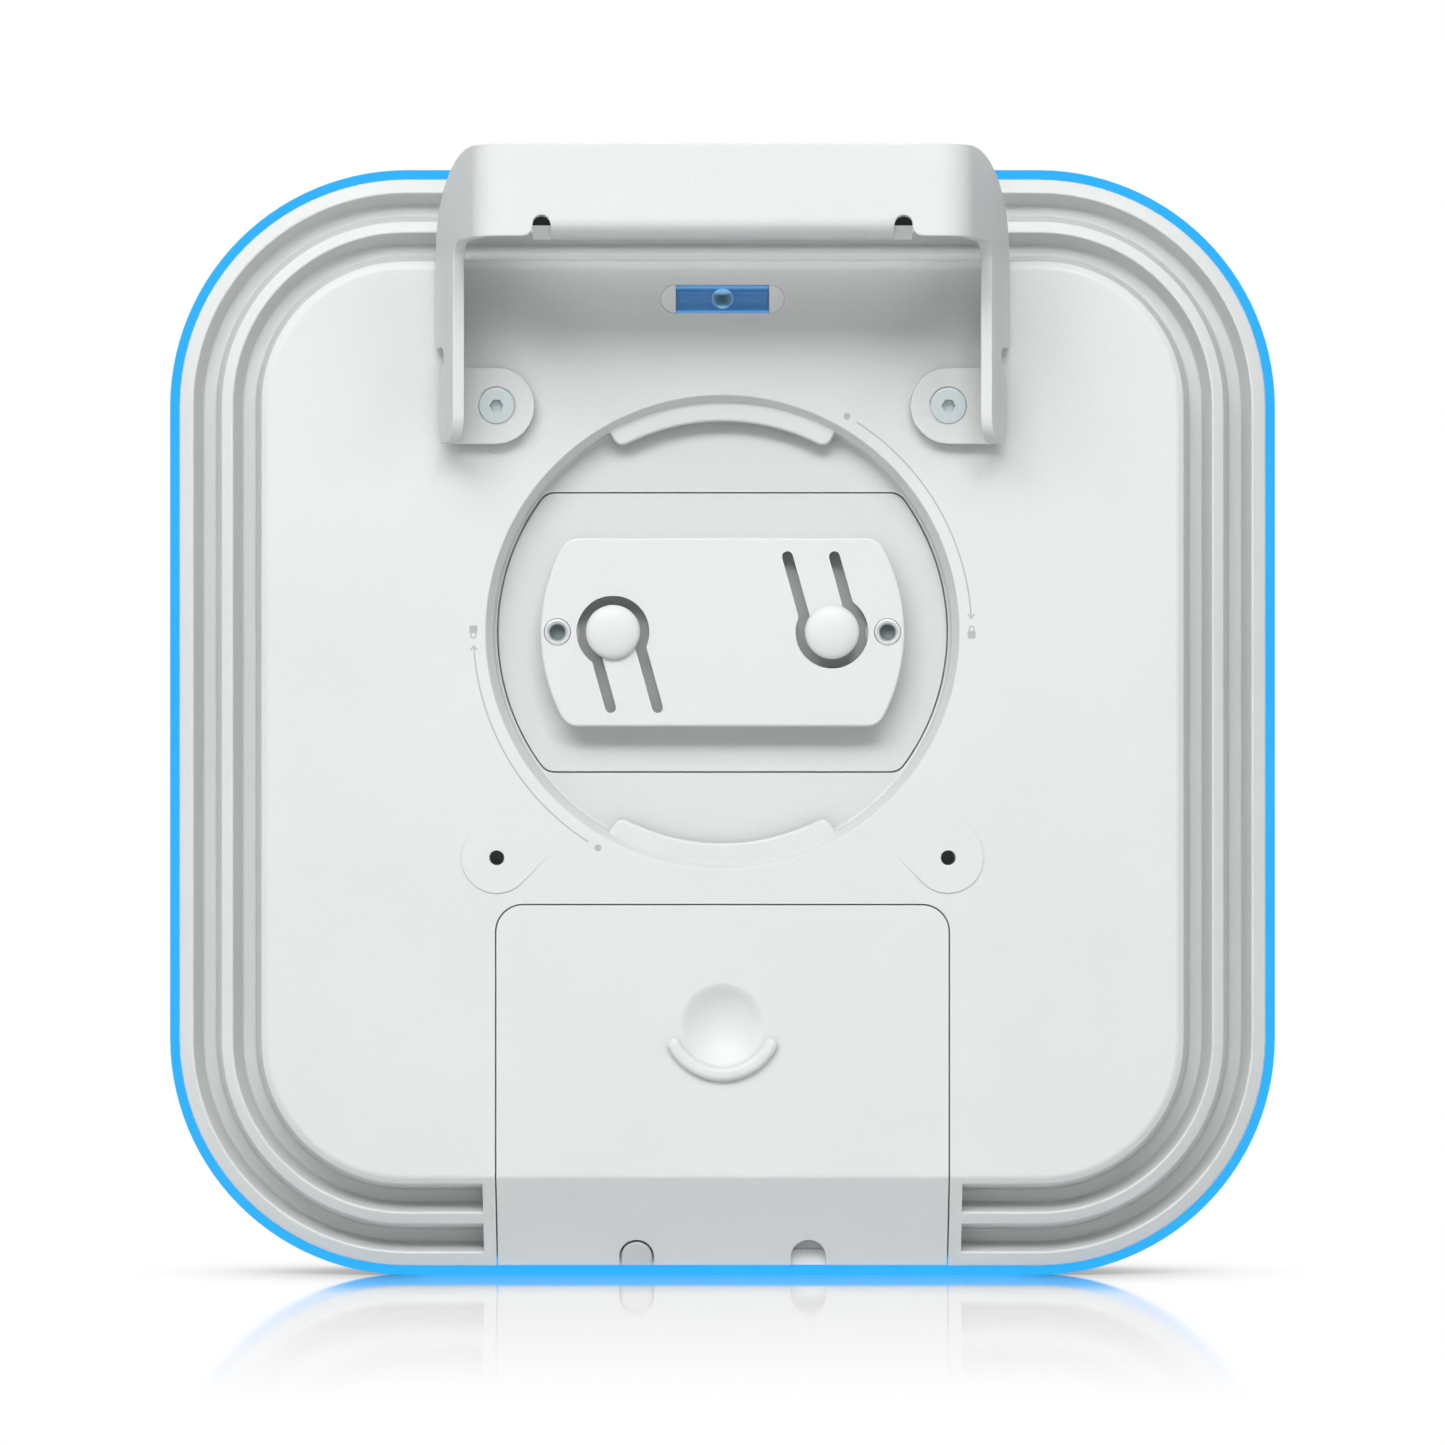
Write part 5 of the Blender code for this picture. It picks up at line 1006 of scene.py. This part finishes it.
def make_blank():
    """Blank in the left cable exit: flush with the ramp, with a flange behind the door."""
    def layer(from_sink, to_sink, half):
        top = 126.0
        low = 151.0
        side = [(slope_y(top, from_sink), -top), (slope_y(low, from_sink), -low),
                (slope_y(low, to_sink), -low), (slope_y(top, to_sink), -top)]
        tool = slab(arch(-NOTCH_X, half, NOTCH_Z), AHEAD_Y, PAST_Y)
        return carve(bar(side, -60, 20), tool, "INTERSECT")

    blank = layer(0.0, DOOR_WALL + 0.9, NOTCH_R - 0.5)
    soften(blank, 0.8, 4, 60, clamp=False)
    carve(blank, layer(DOOR_WALL + 0.3, DOOR_WALL + 1.5, NOTCH_R + 1.8), "UNION")
    carve(blank, block((-60, 20), (AHEAD_Y, -0.8), (-DOOR_FOOT, -120.0)), "INTERSECT")
    return dress(blank, "cable_blank", blank_rubber, "port_door", ("cable_blank_plug",))


def make_contacts():
    """Eight gold springs in each port socket, bent down from the back of the socket."""
    section = [(-7.3, -62.0), (-7.3, -66.5), (-3.6, -71.5), (-3.3, -71.2), (-6.9, -66.3), (-6.9, -62.0)]
    spring = bar(section, -NOTCH_X - 3.72, -NOTCH_X - 3.27)
    soften(spring, 0.06, 1, 50)
    for column in range(8):
        for name, x in (("left", 0), ("right", 2 * NOTCH_X)):
            twin = copied(spring, "contact", x=x + column * 1.02)
            dress(twin, "%s_contact_%d" % (name, column + 1), gold)
    bpy.data.objects.remove(spring)


make_door()
make_grip_ridge()
make_blank()
make_contacts()


# Bubble level

def make_level():
    tube = [(-VIAL_HALF, 2.8), (0.1 - VIAL_HALF, VIAL_R), (VIAL_HALF - 0.1, VIAL_R), (VIAL_HALF, 2.8)]
    vial = turned_across(tube, LEVEL_Y, LEVEL_Z, 56, loop=True)
    dress(vial, "level_tube", tube_clear, nodes=("level_vial",))
    back = arc(LEVEL_Y, LEVEL_Z, 2.78, -96, 96, 24) + arc(LEVEL_Y, LEVEL_Z, 2.7, 96, -96, 24)
    dress(bar(back, 0.3 - VIAL_HALF, VIAL_HALF - 0.3), "level_liquid", liquid_blue)
    near = VIAL_HALF + 0.04
    end = [(near, LEVEL_Z + VIAL_R), (near, LEVEL_Z - VIAL_R)] + arc(12.25, LEVEL_Z, VIAL_R, -90, 90, 24)
    for name, side in (("right", 1), ("left", -1)):
        cap = slab([(side * x, z) for x, z in end], PANEL_Y + 0.02, -10.0, ease=0.12, steps=2)
        dress(cap, name + "_level_end", cap_white, nodes=(name + "_level_cap",))
    turns = [math.radians(turn) for turn in range(180, -1, -10)]
    bubble = [(2.8 * math.cos(turn), 2.6 * math.sin(turn)) for turn in turns]
    air = turned_across(bubble, LEVEL_Y, LEVEL_Z + 0.35, 40)
    dress(air, "level_air", bubble_air, "bubble", ("level_bubble",))


make_level()


# Wall bracket and its two screws

def make_bracket():
    """The folded sheet of the CAD, with its cut edges rounded."""
    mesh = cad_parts["mount_bracket"].data.copy()
    bracket = bpy.data.objects.new("bracket", mesh)
    bpy.context.scene.collection.objects.link(bracket)
    soften(bracket, 0.55, 3, 50)
    return dress(bracket, "folded_wall_bracket", powder_coat, nodes=("mount_bracket",))


def make_relief_shade_patches():
    """A black patch of painted shade in the round end of each bend relief, just under the plate's face, and
    the web below it.
    """
    near = WALL_Y + 0.35
    section = [(near + 0.4, RELIEF_Z), (near + 5.4, RELIEF_Z - 3.2), (near + 5.9, RELIEF_Z - 2.4),
               (near + 1.4, RELIEF_Z)]
    web = bar(section, -RELIEF_X - RELIEF_R, RELIEF_R - RELIEF_X)
    dress_pair(web, "bend_web", powder_coat, RELIEF_X)
    # The black half round is painted shade, not a part of the bracket.
    shade_patch = slab(arc(-RELIEF_X, RELIEF_Z, RELIEF_R, 0, 180, 16), near, near + 1.2)
    dress_pair(shade_patch, "relief_shade_patch", shade_black, RELIEF_X)


def make_bracket_screws():
    """Countersunk screws with a hexagon socket, 3 mm across."""
    crown = FOOT_TOP_Y + 0.1
    shank = 1.75
    head = eased([(0, crown, 0), (HEAD_R - 0.12, crown, 0.3), (HEAD_R - 0.05, crown + 0.5, 0),
                  (shank, crown + 3.2, 0)], 4)
    screw = turned(joined(head) + [(shank, crown + 13.0), (0, crown + 13.0)], -BOSS_X, BOSS_HIGH, 64)
    key = arc(-BOSS_X, BOSS_HIGH, 3.0 / math.sqrt(3), 0, 300, 5)
    carve(screw, slab(key, crown - 1.0, crown + 2.2))
    soften(screw, 0.08, 1, 60)
    dress_pair(screw, "foot_screw", plated_steel, BOSS_X, "bracket_screw")


make_bracket()
make_relief_shade_patches()
make_bracket_screws()


# Printed lock marks beside the recess: a dot, an arc with an arrow head and a padlock

def make_lock_marks():
    near = PANEL_Y - 0.04
    far = PANEL_Y + 0.2
    radius = 63.9
    line = 0.16
    stroke = arc(0, RECESS_Z, radius + line, 57.5, 3.6, 40) + arc(0, RECESS_Z, radius - line, 3.6, 57.5, 40)
    dot = arc(*arc(0, RECESS_Z, radius, 60, 60, 1)[0], 0.85, 0, 350, 35)
    tip_x, tip_z = arc(0, RECESS_Z, radius, 2.9, 2.9, 1)[0]
    head = [(tip_x, tip_z), (tip_x - 0.95, tip_z + 1.25), (tip_x - 0.68, tip_z + 1.42), (tip_x, tip_z + 0.5),
            (tip_x + 0.62, tip_z + 1.45), (tip_x + 0.9, tip_z + 1.28)]
    padlock = rounded_box(radius - 1.0, radius + 1.0, RECESS_Z - 1.65, RECESS_Z + 0.25, 0.25, 4)
    foot_z = RECESS_Z + 0.1
    bow = []
    for size, start, way in ((0.72, 0, 1), (0.42, 180, -1)):
        bow.append((radius + way * size, foot_z))
        bow += arc(radius, RECESS_Z + 0.95, size, start, 180 - start, 14)
        bow.append((radius - way * size, foot_z))
    parts = [slab(outline, near, far) for outline in (stroke, dot, head, padlock)]
    carve(parts[-1], slab(bow, near, far), "UNION")
    choose(parts[0])
    for part in parts[1:]:
        part.select_set(True)
    bpy.ops.object.join()
    mark = bpy.context.object
    twin = copied(mark, "left mark", half_turn=True)
    dress(mark, "right_lock_mark", mark_grey)
    dress(twin, "left_lock_mark", mark_grey)


make_lock_marks()


# Finishes of the CAD pieces that stay

def numbered(*names):
    return [name + "_%d" % number for name in names for number in range(1, 5)]


KEPT = {
    foam_black: ("housing_gasket",),
    strip_white: [side + "_led_strip" for side in ("top", "bottom", "left", "right")],
    mask_green: ("main_board",),
    tin_plate: ("processor_shield", "left_radio_shield", "right_radio_shield"),
    plain_metal: ("heat_spreader", "antenna_plate"),
    soft_pad: ("thermal_pad",),
    brass: numbered("patch_antenna", "board_standoff"),
    plated_steel: numbered("insert_screw", "plate_screw"),
    black_plastic: ("left_port_jack", "right_port_jack", "reset_switch"),
    button_grey: ("reset_button",),
}
for surface, names in KEPT.items():
    for name in names:
        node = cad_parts[name]
        node.data.materials.clear()
        node.data.materials.append(surface)


# Floor, light and camera

def seen_ray(tree):
    """1 for a ray from the camera, and for one that a gloss or a clear piece passes on."""
    path = add_node(tree, "LightPath").outputs
    straight = reckon(tree, "MAXIMUM", path["Is Camera Ray"], path["Is Transmission Ray"])
    return reckon(tree, "MAXIMUM", straight, path["Is Glossy Ray"])


def floor_finish():
    """White with the object's soft shadow, and a gloss that fades away in front of it and behind it."""
    made = bpy.data.materials.new("white floor")
    made.use_nodes = True
    tree = made.node_tree
    tree.nodes.remove(shader_of(made))
    shadow = add_node(tree, "AmbientOcclusion", {"Distance": 0.05}, samples=16).outputs["AO"]
    shade = spread(tree, shadow, -0.3, 0.88, to_low=0.25, line="SMOOTHSTEP")
    white = add_node(tree, "Emission", {"Color": shade})
    place = add_node(tree, "SeparateXYZ", {0: add_node(tree, "TexCoord").outputs["Object"]}).outputs
    fade = spread(tree, place["Y"], UNIT_Y - 0.36, UNIT_Y, to_high=0.42)
    close = spread(tree, place["Y"], UNIT_Y - 0.07, UNIT_Y - 0.025, to_high=0.5, line="SMOOTHSTEP")
    behind = spread(tree, place["Y"], UNIT_Y + 0.04, UNIT_Y + 0.22, 1.0, 0.0)
    gloss = reckon(tree, "MULTIPLY", reckon(tree, "ADD", fade, close), behind)
    beside = spread(tree, reckon(tree, "ABSOLUTE", place["X"]), 0.07, 0.088, line="SMOOTHSTEP")
    dimmed = blended(tree, beside, (1, 1, 1, 1), shade)
    mirror = add_node(tree, "BsdfGlossy", {"Color": dimmed, "Roughness": 0.06})
    shown = add_node(tree, "MixShader", {0: gloss, 1: white.outputs[0], 2: mirror.outputs[0]})
    matt = add_node(tree, "BsdfDiffuse", {"Color": (0.7, 0.7, 0.71, 1)})
    whole = add_node(tree, "MixShader", {0: seen_ray(tree), 1: matt.outputs[0], 2: shown.outputs[0]})
    feed(tree, tree.nodes["Material Output"], {"Surface": whole.outputs[0]})
    return made


def make_floor():
    """A plane just under the ring. It casts no shadow, so it adds no painted shade to the unit's foot."""
    bpy.ops.object.select_all(action="DESELECT")
    bpy.ops.mesh.primitive_plane_add(size=8.0, location=(UNIT_X, UNIT_Y, 0))
    floor = bpy.context.object
    bpy.ops.object.mode_set(mode="EDIT")
    bpy.ops.transform.translate(value=(0, 0, cad_low.z - 0.00006))
    bpy.ops.object.mode_set(mode="OBJECT")
    bpy.ops.object.transform_apply(location=True, rotation=True, scale=True)
    floor.name = "white_floor"
    floor.visible_shadow = False
    floor.data.materials.append(floor_finish())


def make_world():
    """White where it is seen, and an even fill for the light on the object."""
    world = bpy.data.worlds.new("white studio")
    bpy.context.scene.world = world
    world.use_nodes = True
    tree = world.node_tree
    tree.nodes.clear()
    fill = add_node(tree, "Background", {"Color": (0.98, 0.99, 1.0, 1), "Strength": 0.05})
    white = add_node(tree, "Background", {"Color": (1, 1, 1, 1), "Strength": 1.0})
    both = add_node(tree, "MixShader", {0: seen_ray(tree), 1: fill.outputs[0], 2: white.outputs[0]})
    add_node(tree, "OutputWorld", {"Surface": both.outputs[0]})


def add_lamp(name, power, wide, high, sideways, upwards):
    """A soft box that faces the unit, placed by its angles from the camera's axis in degrees."""
    lamp = bpy.data.lights.new(name, "AREA")
    lamp.shape = "RECTANGLE"
    lamp.energy = power
    lamp.size = wide
    lamp.size_y = high
    turn = math.radians(sideways)
    rise = math.radians(upwards)
    towards = Vector((math.sin(turn) * math.cos(rise), -math.cos(turn) * math.cos(rise), math.sin(rise)))
    holder = bpy.data.objects.new(name, lamp)
    holder.location = at(0, 0, 0) + towards * LAMP_AWAY
    holder.rotation_euler = towards.to_track_quat("Z", "Y").to_euler()
    bpy.context.scene.collection.objects.link(holder)
    return holder


def make_lamps():
    """Two wide keys above the camera, a fill on either side, and one behind that no gloss shows."""
    add_lamp("soft key", 32.0, 2.4, 0.46, -8, 36)
    add_lamp("upper key", 21.0, 2.4, 0.7, -8, 49)
    add_lamp("left fill", 5.0, 0.9, 0.9, -62, 20)
    add_lamp("right fill", 4.8, 0.9, 0.9, 62, 20)
    add_lamp("far side fill", 27.0, 2.4, 0.5, 170, 4).visible_glossy = False


def make_camera():
    """On the axis of the unit, 1.9 m from the rear face of its light ring."""
    view = bpy.data.cameras.new("camera")
    view.sensor_width = 36.0
    view.lens = view.sensor_width * CAMERA_AWAY / CAMERA_WIDE
    view.clip_start = 0.05
    view.clip_end = 50.0
    camera = bpy.data.objects.new("camera", view)
    camera.location = at(0, -CAMERA_AWAY, 0)
    camera.rotation_euler = (math.pi / 2, 0, 0)
    bpy.context.scene.collection.objects.link(camera)
    bpy.context.scene.camera = camera


make_floor()
make_world()
make_lamps()
make_camera()
bpy.context.scene.view_settings.view_transform = "Standard"
